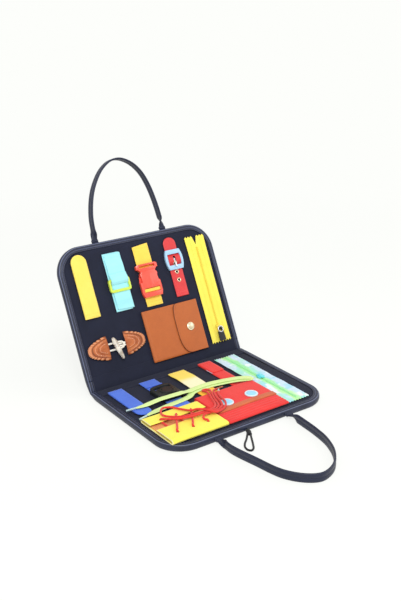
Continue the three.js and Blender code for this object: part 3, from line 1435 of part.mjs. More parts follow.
function addLaces(page) {
  addPiece(page, 'red_lace', cordAlong(redRoute, redLace), redLaceFinish);
  addPiece(page, 'red_aglet_brown', aglet(redRoute, true, agletRadius, agletLength), brownPlastic);
  addPiece(page, 'red_aglet_clear', aglet(redRoute, false, agletRadius, agletLength / 2), clearPlastic);
  addPiece(page, 'lime_lace', flatLace(limeRoute, limeWidth, limeThickness, limeSteps), limeLaceFinish);
  addPiece(page, 'lime_aglet_upper', aglet(limeRoute, true, agletRadius, limeAgletLength), clearPlastic);
  addPiece(page, 'lime_aglet_lower', aglet(limeRoute, false, agletRadius, limeAgletLength), clearPlastic);
  const redGap = gapToItself(redRoute, redLace).toFixed(2);
  console.log(`red lace: ${routeCurve(redRoute).getLength().toFixed(0)} mm, gap to itself ${redGap} mm`);
  console.log(`lime lace: ${routeCurve(limeRoute).getLength().toFixed(0)} mm`);
}

// Closure

function closureTab() {
  return block(loopTabPlace - loopTabWidth / 2, loopTabPlace + loopTabWidth / 2, leafDepth - rimWall / 2,
    leafDepth + loopTabLength, loopTabLow, loopTabLow + loopTabThickness);
}

function closureButton() {
  const radius = buttonDiameter / 2;
  const profile = [
    [0, -buttonShankHeight - layerGap], [buttonShank / 2, -buttonShankHeight - layerGap],
    [buttonShank / 2, -buttonShankHeight], [radius, -buttonShankHeight],
    [radius, -buttonShankHeight - buttonHeight / 2], [radius / 2, -buttonShankHeight - buttonHeight],
    [0, -buttonShankHeight - buttonHeight],
  ];
  return profile;
}

// Assembly

const bag = new THREE.Group();
const halfDepth = leafDepth / 2;
const foldTurn = THREE.MathUtils.degToRad((180 - restOpening) / 2);

const frontPage = makePage(mirrorDepth);
frontPage.group.position.set(0, halfDepth, 0);
bag.add(frontPage.group);

addShell(frontPage, 'front', closureTab());
addBlueHookStrap(frontPage);
addCentrePush(frontPage);
addYellowStrap(frontPage);
addRedHookStrap(frontPage);
addPastelZip(frontPage);
addLacingPanel(frontPage);
addPouch(frontPage);
addLaces(frontPage);
addPiece(frontPage, 'closure_loop', cordAlong(closureRoute, loopCord), blackCord);
const frontHandle = addPiece(frontPage, 'front_handle',
  buildHandle(frontHandleReach, frontAcrossShares, frontOutShares), navyBinding);
frontHandle.position.set(0, -handleAxis, leafThickness / 2);

const spinePage = makePage((geometry) => geometry);
spinePage.group.position.set(0, halfDepth, 0);
spinePage.group.rotation.x = foldTurn;
bag.add(spinePage.group);

function spineStrip(z0, z1) {
  const shape = shapeOf([
    [foldGap + z0, z0], [spineWidth - foldGap - z0, z0], [spineWidth - foldGap - z1, z1], [foldGap + z1, z1],
  ]);
  return alongX(shape, -leafWidth / 2, leafWidth / 2);
}

addPiece(spinePage, 'spine_cover', spineStrip(0, spineSheet), navyFabric);
addPiece(spinePage, 'spine_lining', spineStrip(spineSheet + layerGap, 2 * spineSheet + layerGap), navyFabric);

const rearPage = makePage((geometry) => geometry);
rearPage.group.position.set(0, spineWidth, 0);
rearPage.group.rotation.x = foldTurn;
spinePage.group.add(rearPage.group);

addShell(rearPage, 'rear');
addYellowHookStrap(rearPage);
addTriGlide(rearPage);
addSideRelease(rearPage);
addBelt(rearPage);
addBeltBuckle(rearPage);
addYellowZip(rearPage);
addToggle(rearPage);
addWallet(rearPage);
const knobProfile = closureButton().map(([r, y]) => new THREE.Vector2(r, y)).reverse();
const knob = new THREE.LatheGeometry(knobProfile, roundSegments);
knob.rotateX(Math.PI / 2).translate(0, leafDepth - buttonInset, buttonShankHeight);
addPiece(rearPage, 'closure_button', knob, blackPlastic);
const rearHandle = addPiece(rearPage, 'rear_handle',
  buildHandle(rearHandleReach, rearAcrossShares, rearOutShares), navyBinding);
rearHandle.position.set(0, handleAxis, leafThickness / 2);
rearHandle.rotation.x = THREE.MathUtils.degToRad(rearHandleLean);

export default bag;
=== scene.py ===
"""Looks of a fold-open busy-board handbag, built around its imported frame. Page sizes are in millimetres."""

import math

import bmesh
import bpy
import numpy as np
from mathutils import Matrix, Vector

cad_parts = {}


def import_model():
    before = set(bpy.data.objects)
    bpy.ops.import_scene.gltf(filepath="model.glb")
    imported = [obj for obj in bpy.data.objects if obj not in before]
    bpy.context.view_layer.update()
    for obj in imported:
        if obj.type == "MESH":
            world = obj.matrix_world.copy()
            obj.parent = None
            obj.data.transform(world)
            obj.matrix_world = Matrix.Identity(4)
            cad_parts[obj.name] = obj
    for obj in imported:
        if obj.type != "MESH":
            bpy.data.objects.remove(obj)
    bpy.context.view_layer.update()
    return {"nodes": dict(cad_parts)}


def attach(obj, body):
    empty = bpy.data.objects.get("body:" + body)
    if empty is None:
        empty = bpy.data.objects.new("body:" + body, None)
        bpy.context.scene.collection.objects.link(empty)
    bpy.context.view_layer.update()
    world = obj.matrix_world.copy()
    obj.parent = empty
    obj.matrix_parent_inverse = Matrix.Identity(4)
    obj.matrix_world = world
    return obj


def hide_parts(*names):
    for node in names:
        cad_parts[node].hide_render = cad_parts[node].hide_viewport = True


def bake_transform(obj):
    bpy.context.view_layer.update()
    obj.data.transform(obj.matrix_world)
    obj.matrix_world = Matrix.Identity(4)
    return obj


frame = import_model()
nodes = frame["nodes"]
scene = bpy.context.scene

MM = 0.001
LEAF_WIDTH, LEAF_DEPTH, THICK, CORNER = 280, 204, 10, 42
HALF_DEPTH = LEAF_DEPTH / 2
FOLD_SETBACK = 4
SPINE = 30
FOLD_TURN = math.radians(32)
REAR_LEAN = math.radians(7)
HANDLE_AXIS = 207.4
SPINE_COS, SPINE_SIN = math.cos(FOLD_TURN), math.sin(FOLD_TURN)
REAR_COS, REAR_SIN = math.cos(2 * FOLD_TURN), math.sin(2 * FOLD_TURN)
REAR_Y = HALF_DEPTH + SPINE * SPINE_COS
REAR_Z = SPINE * SPINE_SIN


# ---------------------------------------------------------------- places

def rear_place(d, z):
    """World y and z in millimetres of a point on the rear leaf's page."""
    return REAR_Y + d * REAR_COS - z * REAR_SIN, REAR_Z + d * REAR_SIN + z * REAR_COS


def world(page, points):
    """Page points (x, d, z) in millimetres as world points in metres."""
    x, d, z = np.moveaxis(np.asarray(points, float), -1, 0)
    if page == "front":
        y, h = HALF_DEPTH - d, z
    elif page == "front_handle":
        y, h = HALF_DEPTH - HANDLE_AXIS - d, THICK / 2 + z
    elif page == "rear":
        y, h = rear_place(d, z)
    elif page == "rear_handle":
        turn = 2 * FOLD_TURN + REAR_LEAN
        axis_y, axis_h = rear_place(HANDLE_AXIS, THICK / 2)
        y = axis_y + d * math.cos(turn) - z * math.sin(turn)
        h = axis_h + d * math.sin(turn) + z * math.cos(turn)
    else:
        y, h = d, z
    return np.stack([x, y, h], -1) * MM


def unpage(page, points):
    """World points in metres back to page millimetres."""
    x, y, z = (np.asarray(points, float) / MM).T
    if page == "front":
        return np.stack([x, HALF_DEPTH - y, z], 1)
    dy, dz = y - REAR_Y, z - REAR_Z
    return np.stack([x, dy * REAR_COS + dz * REAR_SIN, -dy * REAR_SIN + dz * REAR_COS], 1)


# ---------------------------------------------------------------- camera

CAMERA_PLACE = (-0.70180, -0.96696, 0.60688)
AZIMUTH, ELEVATION, ROLL = -0.614338, 0.359876, -0.0105032
FOCAL_PIXELS, PHOTO_HEIGHT, SENSOR = 911.27, 601, 36


def make_camera():
    data = bpy.data.cameras.new("camera")
    data.sensor_fit = "AUTO"
    data.sensor_width = SENSOR
    data.lens = FOCAL_PIXELS / PHOTO_HEIGHT * SENSOR
    data.clip_start, data.clip_end = 0.05, 60
    camera = bpy.data.objects.new("camera", data)
    scene.collection.objects.link(camera)
    back = Vector((math.sin(AZIMUTH) * math.cos(ELEVATION), -math.cos(AZIMUTH) * math.cos(ELEVATION),
                   math.sin(ELEVATION)))
    level = Vector((0, 0, 1)).cross(back).normalized()
    upright = back.cross(level)
    right = level * math.cos(ROLL) + upright * math.sin(ROLL)
    up = upright * math.cos(ROLL) - level * math.sin(ROLL)
    turn = Matrix((right, up, back)).transposed().to_4x4()
    turn.translation = CAMERA_PLACE
    camera.matrix_world = turn
    scene.camera = camera


make_camera()


# ---------------------------------------------------------------- node materials

def rgb(code):
    """A written colour as the linear colour that a shader takes."""
    parts = [((code >> s) & 255) / 255 for s in (16, 8, 0)]
    return tuple(c / 12.92 if c <= 0.04045 else ((c + 0.055) / 1.055) ** 2.4 for c in parts) + (1,)


def add(tree, kind, inputs=(), output=0, **settings):
    """A new node with its settings and inputs made; its output as a Value."""
    node = tree.nodes.new("ShaderNode" + kind)
    for key, value in settings.items():
        setattr(node, key, value)
    for key, value in dict(inputs).items():
        put(tree, node.inputs[key], value)
    return Value(tree, node.outputs[output])


def put(tree, socket, value):
    if isinstance(value, Value):
        tree.links.new(value.socket, socket)
    else:
        socket.default_value = value


class Value:
    """A socket of a node tree that takes arithmetic."""

    def __init__(self, tree, socket):
        self.tree, self.socket = tree, socket

    def math(self, operation, a, b=0.0):
        return add(self.tree, "Math", {0: a, 1: b}, operation=operation)

    def __add__(self, other):
        return self.math("ADD", self, other)

    def __sub__(self, other):
        return self.math("SUBTRACT", self, other)

    def __rsub__(self, other):
        return self.math("SUBTRACT", other, self)

    def __mul__(self, other):
        return self.math("MULTIPLY", self, other)

    def __abs__(self):
        return self.math("ABSOLUTE", self)

    def sine(self, pitch):
        return self.math("SINE", self * (2 * math.pi / pitch))

    def ramp(self, low, high):
        return add(self.tree, "MapRange", {0: self, 1: low, 2: high}, interpolation_type="SMOOTHSTEP")

    def stripe(self, at, inner, outer):
        """One within inner of a place, falling to zero at outer."""
        return 1 - abs(self - at).ramp(inner, outer)


class Nodes:
    """Short forms for building a material's node tree."""

    SOCKETS = {"color": "Base Color", "rough": "Roughness", "metal": "Metallic", "sheen": "Sheen Weight",
               "sheen_rough": "Sheen Roughness", "coat": "Coat Weight", "coat_rough": "Coat Roughness",
               "specular": "Specular IOR Level", "subsurface": "Subsurface Weight",
               "transmission": "Transmission Weight"}

    def __init__(self, name):
        self.material = bpy.data.materials.new(name)
        self.material.use_nodes = True
        self.tree = self.material.node_tree
        self.tree.nodes.clear()
        self.out = self.tree.nodes.new("ShaderNodeOutputMaterial")
        self.shader = self.tree.nodes.new("ShaderNodeBsdfPrincipled")
        self.tree.links.new(self.shader.outputs[0], self.out.inputs[0])
        self.coords = self.tree.nodes.new("ShaderNodeTexCoord")

    def mix(self, factor, a, b):
        """Two colours mixed; a colour may be written as a code."""
        a, b = (rgb(c) if isinstance(c, int) else c for c in (a, b))
        return add(self.tree, "Mix", {0: factor, 6: a, 7: b}, 2, data_type="RGBA")

    def place(self, source):
        return Value(self.tree, self.coords.outputs[source])

    def uv(self):
        return [add(self.tree, "SeparateXYZ", {0: self.place("UV")}, k) for k in (0, 1)]

    def noise(self, scale, detail=3.0, rough=0.55, source="Object", stretch=None):
        vector = self.place(source)
        if stretch:
            vector = add(self.tree, "Mapping", {0: vector, "Scale": stretch})
        return add(self.tree, "TexNoise",
                   {"Vector": vector, "Scale": scale, "Detail": detail, "Roughness": rough})

    def hide(self, grain, creases, strength):
        """The bump of leather: cells of grain and fine creases."""
        cells = add(self.tree, "TexVoronoi", {"Vector": self.place("Object"), "Scale": grain},
                    feature="DISTANCE_TO_EDGE")
        self.bump(cells.ramp(0, 0.25) * 0.6 + creases * 0.6, strength, 0.12)

    def bump(self, height, strength, depth):
        normal = add(self.tree, "Bump", {"Strength": strength, "Distance": depth * MM, "Height": height})
        put(self.tree, self.shader.inputs["Normal"], normal)

    def finish(self, **values):
        for key, value in values.items():
            put(self.tree, self.shader.inputs[self.SOCKETS[key]], value)
        return self.material


def fabric(name, base, dark, pitch=0.9, kind="plain", strength=0.35, sheen=0.25, blotch=0.25, blotch_scale=45,
           rough=0.86):
    """Cloth: a weave in page millimetres, uneven dye, and a slight sheen."""
    m = Nodes(name)
    u, v = m.uv()
    p = pitch * MM
    if kind == "rib":
        weave = v.sine(p) * (u.sine(2 * p) * 0.25 + 0.75)
    elif kind == "twill":
        weave = (u + v).sine(p)
    elif kind == "chevron":
        weave = (v + abs(u.sine(8 * p)) * p).sine(p)
    else:
        weave = u.sine(p) * v.sine(p)
    fuzz = m.noise(1400, 2, 0.6)
    lit = weave * 0.28 + 0.5 + (fuzz - 0.5) * 0.5 + (m.noise(blotch_scale, 4, 0.6) - 0.5) * (blotch * 4)
    m.bump(weave * 0.5 + fuzz * 0.7, strength, 0.12)
    return m.finish(color=m.mix(lit.ramp(0, 1), dark, base), rough=fuzz * 0.12 + (rough - 0.06), sheen=sheen,
                    sheen_rough=0.5, specular=0.25)


def leather(name, base, dark, grain=900, strength=0.4, rough=0.5, mottle=0.3, coat=0.08):
    """Leather or leatherette: cells of grain, fine creases and a mottled dye."""
    m = Nodes(name)
    creases = m.noise(grain * 0.35, 5, 0.65)
    lit = m.noise(38, 4, 0.6) * (mottle * 2.4) + (0.5 - mottle * 1.2) + (creases - 0.5) * 0.35
    m.hide(grain, creases, strength)
    return m.finish(color=m.mix(lit.ramp(0, 1), dark, base), rough=creases * 0.18 + (rough - 0.08), coat=coat,
                    coat_rough=0.35, specular=0.4)


def plastic(name, base, dark, rough=0.34, cloud=0.16, coat=0.0, clear=0.0, subsurface=0.0):
    """Moulded plastic: faint flow marks, a fine skin and slightly uneven gloss."""
    m = Nodes(name)
    flow = m.noise(70, 3, 0.5, stretch=(1, 0.45, 1))
    scuffs = m.noise(240, 5, 0.75).ramp(0.58, 0.8)
    m.bump(m.noise(2600, 2, 0.5) * 0.6 + flow, 0.08, 0.06)
    return m.finish(color=m.mix(flow * (cloud * 2) + (0.5 - cloud), dark, base), rough=scuffs * 0.18 + rough,
                    coat=coat, coat_rough=0.2, subsurface=subsurface, transmission=clear)


def metal(name, base, dark, rough=0.28):
    """Plated metal with a little tarnish."""
    m = Nodes(name)
    tarnish = m.noise(160, 5, 0.7).ramp(0.5, 0.8)
    m.bump(m.noise(500, 3, 0.6), 0.05, 0.05)
    return m.finish(color=m.mix(tarnish * 0.6, base, dark), rough=tarnish * 0.2 + rough, metal=0.85)


def horn(name):
    """Pale horn with brown streaks and veins."""
    m = Nodes(name)
    streaks = m.noise(55, 6, 0.7, stretch=(3.2, 1, 1))
    veins = m.noise(150, 5, 0.7, stretch=(2, 1, 1)).ramp(0.52, 0.68)
    color = m.mix(veins * 0.55, m.mix(streaks.ramp(0.35, 0.7), 0xF1EADD, 0xA89684), 0x6E5B4C)
    m.bump(streaks, 0.12, 0.1)
    return m.finish(color=color, rough=0.34, coat=0.25, coat_rough=0.2, subsurface=0.05)


def pastel_tape(name, middle):
    """Pastel zip tape: pale blue cloth dyed in mint, cyan and white clouds, greenest along its teeth."""
    m = Nodes(name)
    u, v = m.uv()
    color = rgb(0xCBE4F8)
    for scale, rough, stretch, low, high, share, shade in (
        (24, 0.55, None, 0.46, 0.56, 1.0, 0xA6EBD8),
        (37, 0.55, None, 0.52, 0.6, 0.8, 0x9ADCF2),
        (31, 0.6, (1.3, 1, 1), 0.54, 0.62, 0.9, 0xF4FBFF),
    ):
        cloud = m.noise(scale, 3, rough, "UV", stretch).ramp(low, high)
        color = m.mix(cloud * share, color, shade)
    wander = (m.noise(20, 3, 0.6, "UV") - 0.5) * (24 * MM)
    green = m.mix(m.noise(18, 2, 0.5, "UV").ramp(0.42, 0.6), 0x9DF09A, 0xBDF59C)
    color = m.mix((u + wander).stripe(middle * MM, 3.0 * MM, 8.5 * MM) * 0.92, color, green)
    m.bump(u.sine(0.8 * MM) * v.sine(0.8 * MM) + m.noise(1300, 2), 0.25, 0.1)
    return m.finish(color=color, rough=0.5, sheen=0.3, specular=0.5)


def graded_strap(name):
    """Yellow strap: deep at its top, a painted highlight where it stands up to the light, painted orange shade at its
    lower end.
    """
    m = Nodes(name)
    u, v = m.uv()
    weave = v.sine(1.5 * MM) * (u.sine(1.5 * MM) * 0.3 + 0.7)
    along = v + (m.noise(60, 3) - 0.5) * (10 * MM)
    # Painted highlight: pale over the middle where the strap bulges up; painted shade: orange towards its lower end.
    pale = along.ramp(27 * MM, 42 * MM) * (1 - along.ramp(62 * MM, 76 * MM))
    color = m.mix(pale, m.mix(along.ramp(60 * MM, 84 * MM), 0xFFE566, 0xFFC63A), 0xFFF7CE)
    color = m.mix((weave * -0.5 + 0.5) * 0.08, color, 0xD08A18)
    m.bump(weave + m.noise(1400, 2), 0.4, 0.14)
    return m.finish(color=color, rough=0.8, sheen=0.2, specular=0.25)


def piped_binding(name):
    """Navy binding leatherette: painted highlights as pale lines along its piped ridges, painted shade as dark lines in
    its grooves.
    """
    m = Nodes(name)
    u = m.uv()[0]
    creases = m.noise(380, 5, 0.65)
    color = m.mix(m.noise(38, 4, 0.6).ramp(0.3, 0.7), 0x1A1E30, 0x282D45)
    # Painted shade in the grooves at 3.2 and 7.6 mm; painted highlights on the ridges at 4.7 and 9.0 mm.
    for at, half, share, shade in ((3.2, 1.0, 0.85, 0x0E1019), (7.6, 0.9, 0.8, 0x10121C),
                                   (4.7, 0.8, 0.5, 0x5C6484), (9.0, 1.0, 0.6, 0x7880A0)):
        color = m.mix(u.stripe(at * MM, half * 0.35 * MM, half * MM) * share, color, shade)
    m.hide(1100, creases, 0.25)
    return m.finish(color=color, rough=creases * 0.18 + 0.36, coat=0.12, coat_rough=0.35, specular=0.35)


def fan_hide(name):
    """Tan leather of the toggle's fans: pale beads round the rim, painted shade in the notches between them, dark lines
    within.
    """
    m = Nodes(name)
    u, v = m.uv()
    grain = m.noise(700, 4, 0.6)
    bead = abs(u.sine(2 * MM))
    rim = v.ramp(8.5 * MM, 8.9 * MM)
    color = m.mix(m.noise(60, 4, 0.6).ramp(0.3, 0.7), 0xA8562A, 0xCE7640)
    color = m.mix(rim * bead.ramp(0.6, 0.95), color, 0xDA9368)
    # Painted shade: dark brown in the notches between the beads.
    color = m.mix(rim * ((1 - bead.ramp(0.2, 0.55)) * 0.8), color, 0x5A2810)
    for at, half, share in ((8.1, 0.5, 0.7), (5.2, 0.35, 0.45)):
        color = m.mix(v.stripe(at * MM, half * 0.5 * MM, half * MM) * share, color, 0x5C2A12)
    m.bump(grain, 0.5, 0.12)
    return m.finish(color=color, rough=grain * 0.18 + 0.42, coat=0.1, coat_rough=0.35, specular=0.4)


lining_cloth = fabric("lining_cloth", 0x23273C, 0x141725, pitch=0.8, strength=0.3, blotch=0.16, blotch_scale=30,
                      rough=0.85, sheen=0.05)
cover_cloth = fabric("cover_cloth", 0x262A40, 0x171A29, pitch=1.0, kind="twill", strength=0.35, blotch=0.12,
                     sheen=0.06)
binding_skin = piped_binding("binding_skin")
handle_skin = leather("handle_skin", 0x1B2342, 0x0F1324, grain=1200, strength=0.3, rough=0.46, mottle=0.2)
navy_thread = fabric("navy_thread", 0x55577A, 0x35364E, pitch=0.5, kind="twill", blotch=0.05)
yellow_felt = fabric("yellow_felt", 0xFFE878, 0xF0D24C, pitch=0.7, strength=0.4, blotch=0.12, sheen=0.3)
yellow_loops = fabric("yellow_loops", 0xF6DC50, 0xD8B838, pitch=1.1, strength=0.8, blotch=0.2)
yellow_web = fabric("yellow_web", 0xFFE566, 0xF2C548, pitch=1.5, kind="rib", strength=0.55, blotch=0.1)
yellow_tape = fabric("yellow_tape", 0xFFF06E, 0xF0DC48, pitch=0.7, kind="twill", strength=0.3, blotch=0.1)
cyan_web = fabric("cyan_web", 0xB4F2F8, 0x92DFEA, pitch=1.5, kind="rib", strength=0.55, blotch=0.1)
blue_web = fabric("blue_web", 0x527EEC, 0x3358C4, pitch=1.5, kind="rib", strength=0.55, blotch=0.12)
blue_felt = fabric("blue_felt", 0x5580EC, 0x3C62CE, pitch=0.7, strength=0.4, blotch=0.12)
red_felt = fabric("red_felt", 0xFA3E38, 0xD92626, pitch=0.7, strength=0.4, blotch=0.12)
red_cloth = fabric("red_cloth", 0xFA3E3A, 0xD82828, pitch=0.8, strength=0.45, blotch=0.14)
trim_cloth = fabric("trim_cloth", 0xE07848, 0xB85030, pitch=0.8, kind="twill", strength=0.4, blotch=0.2)
panel_cloth = fabric("panel_cloth", 0xFFF568, 0xF7E448, pitch=0.8, strength=0.4, blotch=0.1)
panel_inside = fabric("panel_inside", 0xF2EAB0, 0xD8CC84, pitch=0.8, strength=0.4, blotch=0.1)
orange_felt = fabric("orange_felt", 0xF0A868, 0xCC7C42, pitch=0.7, strength=0.5, blotch=0.4, blotch_scale=80)
pale_cloth = fabric("pale_cloth", 0xE6E4F2, 0xC0BEDA, pitch=0.7, blotch=0.1)
strap_graded = graded_strap("strap_graded")
lime_cloth = fabric("lime_cloth", 0xE9FBB0, 0xC9E68A, pitch=1.3, kind="chevron", strength=0.5, blotch=0.15)
red_braid = fabric("red_braid", 0xFA4A40, 0xC92A28, pitch=1.6, kind="twill", strength=0.8, blotch=0.1)
cream_twist = fabric("cream_twist", 0xFFFCF4, 0xEEE8DA, pitch=1.7, kind="twill", strength=0.8, blotch=0.1)
black_twist = fabric("black_twist", 0x202024, 0x0A0A0C, pitch=1.6, kind="twill", strength=0.6, blotch=0.1)
fan_leather = fan_hide("fan_leather")
wallet_leather = leather("wallet_leather", 0xC66A2E, 0xA85524, grain=1000, strength=0.35, rough=0.5, mottle=0.22)
wallet_edge = leather("wallet_edge", 0x7E3E1E, 0x54260F, grain=1000, strength=0.3)
belt_leather = leather("belt_leather", 0xE63F40, 0xC42A2E, grain=1100, strength=0.25, rough=0.42, mottle=0.2,
                       coat=0.15)
red_plastic = plastic("red_plastic", 0xFF6450, 0xF04432, rough=0.3, coat=0.2, subsurface=0.05)
lime_plastic = plastic("lime_plastic", 0xE2F25E, 0xC8DC48, rough=0.26, coat=0.2, subsurface=0.1)
blue_plastic = plastic("blue_plastic", 0xB4D8F2, 0x98C4E6, rough=0.34, coat=0.1)
cyan_plastic = plastic("cyan_plastic", 0x70ECF4, 0x4ED2E2, rough=0.3, coat=0.2, subsurface=0.05)
snap_blue = plastic("snap_blue", 0xA8E4FC, 0x88CFF2, rough=0.3, coat=0.2)
snap_white = plastic("snap_white", 0xE6F4FA, 0xC6E2EE, rough=0.3)
black_plastic = plastic("black_plastic", 0x17181B, 0x0A0B0D, rough=0.52, cloud=0.2)
olive_plastic = plastic("olive_plastic", 0x181C1B, 0x0A0D0C, rough=0.56, cloud=0.3)
clear_plastic = plastic("clear_plastic", 0xE2F6F6, 0xC4E6E6, rough=0.18, coat=0.3, clear=0.35)
brown_plastic = plastic("brown_plastic", 0xC06A38, 0x8E4620, rough=0.3, coat=0.2)
steel = metal("steel", 0xD6D6DA, 0x9A9AA0)
edge_thread = fabric("edge_thread", 0xF6C8A8, 0xE0A080, pitch=0.5, kind="twill")
gold_steel = metal("gold_steel", 0xE2D4B4, 0xA8976F, rough=0.26)
horn_mix = horn("horn_mix")
pastel_cloth = pastel_tape("pastel_cloth", 92)
pastel_teeth = plastic("pastel_teeth", 0xB6F2B4, 0x92E4AC, rough=0.4)
yellow_teeth = plastic("yellow_teeth", 0xFCE658, 0xE9CC40, rough=0.4)


# ---------------------------------------------------------------- mesh making

EDGE_BULGE = 0.3


def link(name, vertices, faces, material, uv=None):
    """A smooth mesh object at the origin, its vertices in metres."""
    mesh = bpy.data.meshes.new(name)
    mesh.from_pydata(np.asarray(vertices, float).tolist(), [], [tuple(int(i) for i in f) for f in faces])
    if uv is not None:
        layer = mesh.uv_layers.new(name="UVMap")
        index = np.zeros(len(mesh.loops), int)
        mesh.loops.foreach_get("vertex_index", index)
        layer.data.foreach_set("uv", np.asarray(uv, float)[index].ravel())
    bm = bmesh.new()
    bm.from_mesh(mesh)
    bmesh.ops.recalc_face_normals(bm, faces=bm.faces)
    bm.to_mesh(mesh)
    bm.free()
    mesh.polygons.foreach_set("use_smooth", [True] * len(mesh.polygons))
    mesh.materials.append(material)
    obj = bpy.data.objects.new(name, mesh)
    scene.collection.objects.link(obj)
    return obj


def dress(obj, body, replaced=()):
    """obj rides on a body and stands for CAD nodes."""
    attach(obj, body)
    if replaced:
        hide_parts(*([replaced] if isinstance(replaced, str) else replaced))
    return obj


def hash_noise(x, seed=0):
    """Smooth noise from -1 to 1 of one value per unit of x."""
    x = np.asarray(x, float)
    i = np.floor(x)
    f = x - i
    f = f * f * (3 - 2 * f)

    def r(k):
        v = np.sin(k * 127.1 + seed * 311.7) * 43758.5453
        return (v - np.floor(v)) * 2 - 1
    return r(i) * (1 - f) + r(i + 1) * f


def field(x, y, seed=0):
    """Smooth noise from -1 to 1 over a plane."""
    x, y = np.asarray(x, float), np.asarray(y, float)
    i, j = np.floor(x), np.floor(y)
    f, g = x - i, y - j
    f, g = f * f * (3 - 2 * f), g * g * (3 - 2 * g)

    def r(a, b):
        v = np.sin(a * 127.1 + b * 269.5 + seed * 53.3) * 43758.5453
        return (v - np.floor(v)) * 2 - 1
    top = r(i, j) * (1 - f) + r(i + 1, j) * f
    low = r(i, j + 1) * (1 - f) + r(i + 1, j + 1) * f
    return top * (1 - g) + low * g


def thick(name, page, grid, thickness, material, uv=None, shoulder=0.74):
    """A sheet of one thickness around a grid of middle points, with rounded edges."""
    grid = np.asarray(grid, float)
    m, n = grid.shape[:2]
    du, dv = np.gradient(grid, axis=0), np.gradient(grid, axis=1)
    normal = np.cross(du, dv)
    normal /= np.maximum(np.linalg.norm(normal, axis=2, keepdims=True), 1e-9)
    half = np.full((m, n, 1), thickness / 2)
    half[0] *= shoulder
    half[-1] *= shoulder
    half[:, 0] *= shoulder
    half[:, -1] *= shoulder
    top, low = grid + normal * half, grid - normal * half
    if uv is None:
        su = np.linalg.norm(np.diff(grid, axis=0), axis=2)
        sv = np.linalg.norm(np.diff(grid, axis=1), axis=2)
        u = np.concatenate([np.zeros((1, n)), np.cumsum(su, axis=0)])
        u -= u[-1:] / 2
        v = np.concatenate([np.zeros((m, 1)), np.cumsum(sv, axis=1)], axis=1)
        uv = np.stack([u, v], -1)
    ring = [(i, 0) for i in range(m)] + [(m - 1, j) for j in range(1, n)]
    ring += [(i, n - 1) for i in range(m - 2, -1, -1)] + [(0, j) for j in range(n - 2, 0, -1)]
    edge, edge_uv = [], []
    for i, j in ring:
        inner = grid[min(max(i, 1), m - 2), min(max(j, 1), n - 2)] if m > 2 and n > 2 else grid.mean((0, 1))
        out = grid[i, j] - inner
        length = np.linalg.norm(out)
        out = out / length if length > 1e-9 else out
        edge.append(grid[i, j] + out * thickness * EDGE_BULGE)
        edge_uv.append(uv[i, j])
    count = m * n
    at = lambda i, j: i * n + j
    faces = []
    for i in range(m - 1):
        for j in range(n - 1):
            q = (at(i, j), at(i + 1, j), at(i + 1, j + 1), at(i, j + 1))
            faces.append(q)
            faces.append(tuple(count + k for k in reversed(q)))
    total = len(ring)
    for k in range(total):
        a, b = ring[k], ring[(k + 1) % total]
        ra, rb = 2 * count + k, 2 * count + (k + 1) % total
        faces.append((at(*b), at(*a), ra, rb))
        faces.append((rb, ra, count + at(*a), count + at(*b)))
    points = np.concatenate([top.reshape(-1, 3), low.reshape(-1, 3), np.array(edge)])
    uvs = np.concatenate([uv.reshape(-1, 2), uv.reshape(-1, 2), np.array(edge_uv)]) * MM
    return link(name, world(page, points), faces, material, uvs)


def runs(line):
    """The length along a line up to each of its points."""
    return np.concatenate([[0], np.cumsum(np.linalg.norm(np.diff(line, axis=0), axis=1))])


def sample(line, wanted):
    """Points of a line at wanted lengths along it."""
    line = np.asarray(line, float)
    run = runs(line)
    return np.stack([np.interp(wanted, run, line[:, k]) for k in range(line.shape[1])], -1)


def unit(vectors):
    return vectors / np.maximum(np.linalg.norm(vectors, axis=-1, keepdims=True), 1e-9)


def circle(count):
    a = np.arange(count) / count * 2 * math.pi
    return np.stack([np.cos(a), np.sin(a)], 1)


def walls(rings, count, base=0):
    """Faces between rings of count vertices that follow each other."""
    return [(base + k * count + i, base + k * count + (i + 1) % count, base + (k + 1) * count + (i + 1) % count,
             base + (k + 1) * count + i) for k in range(rings - 1) for i in range(count)]


def lofts(name, page, stacks, material, uv=None):
    """One mesh of closed bodies, each a stack of rings with the same count of points."""
    stacks = np.asarray(stacks, float)
    rings, count = stacks.shape[1:3]
    faces = []
    for base in range(0, stacks.shape[0] * rings * count, rings * count):
        faces += walls(rings, count, base)
        faces.append(list(range(base, base + count)))
        faces.append(list(range(base + (rings - 1) * count, base + rings * count)))
    uv = np.reshape(stacks[..., :2] if uv is None else uv, (-1, 2)) * MM
    return link(name, world(page, stacks.reshape(-1, 3)), faces, material, uv)


def resample(points, step):
    total = runs(points)[-1]
    return sample(points, np.linspace(0, total, max(2, int(round(total / step)) + 1)))


def soft_path(points, step=1.0, window=2.4):
    """A polyline resampled, its corners rounded over a window."""
    line = resample(points, step)
    k = max(1, int(round(window / step)))
    if k > 1:
        pad = np.concatenate([np.repeat(line[:1], k, 0), line, np.repeat(line[-1:], k, 0)])
        kernel = np.hanning(2 * k + 1)
        kernel /= kernel.sum()
        smooth = np.stack([np.convolve(pad[:, c], kernel, "same") for c in range(3)], 1)[k:-k]
        blend = np.clip(np.minimum(np.arange(len(line)), np.arange(len(line))[::-1]) / k, 0, 1)[:, None]
        line = line * (1 - blend) + smooth * blend
    return line


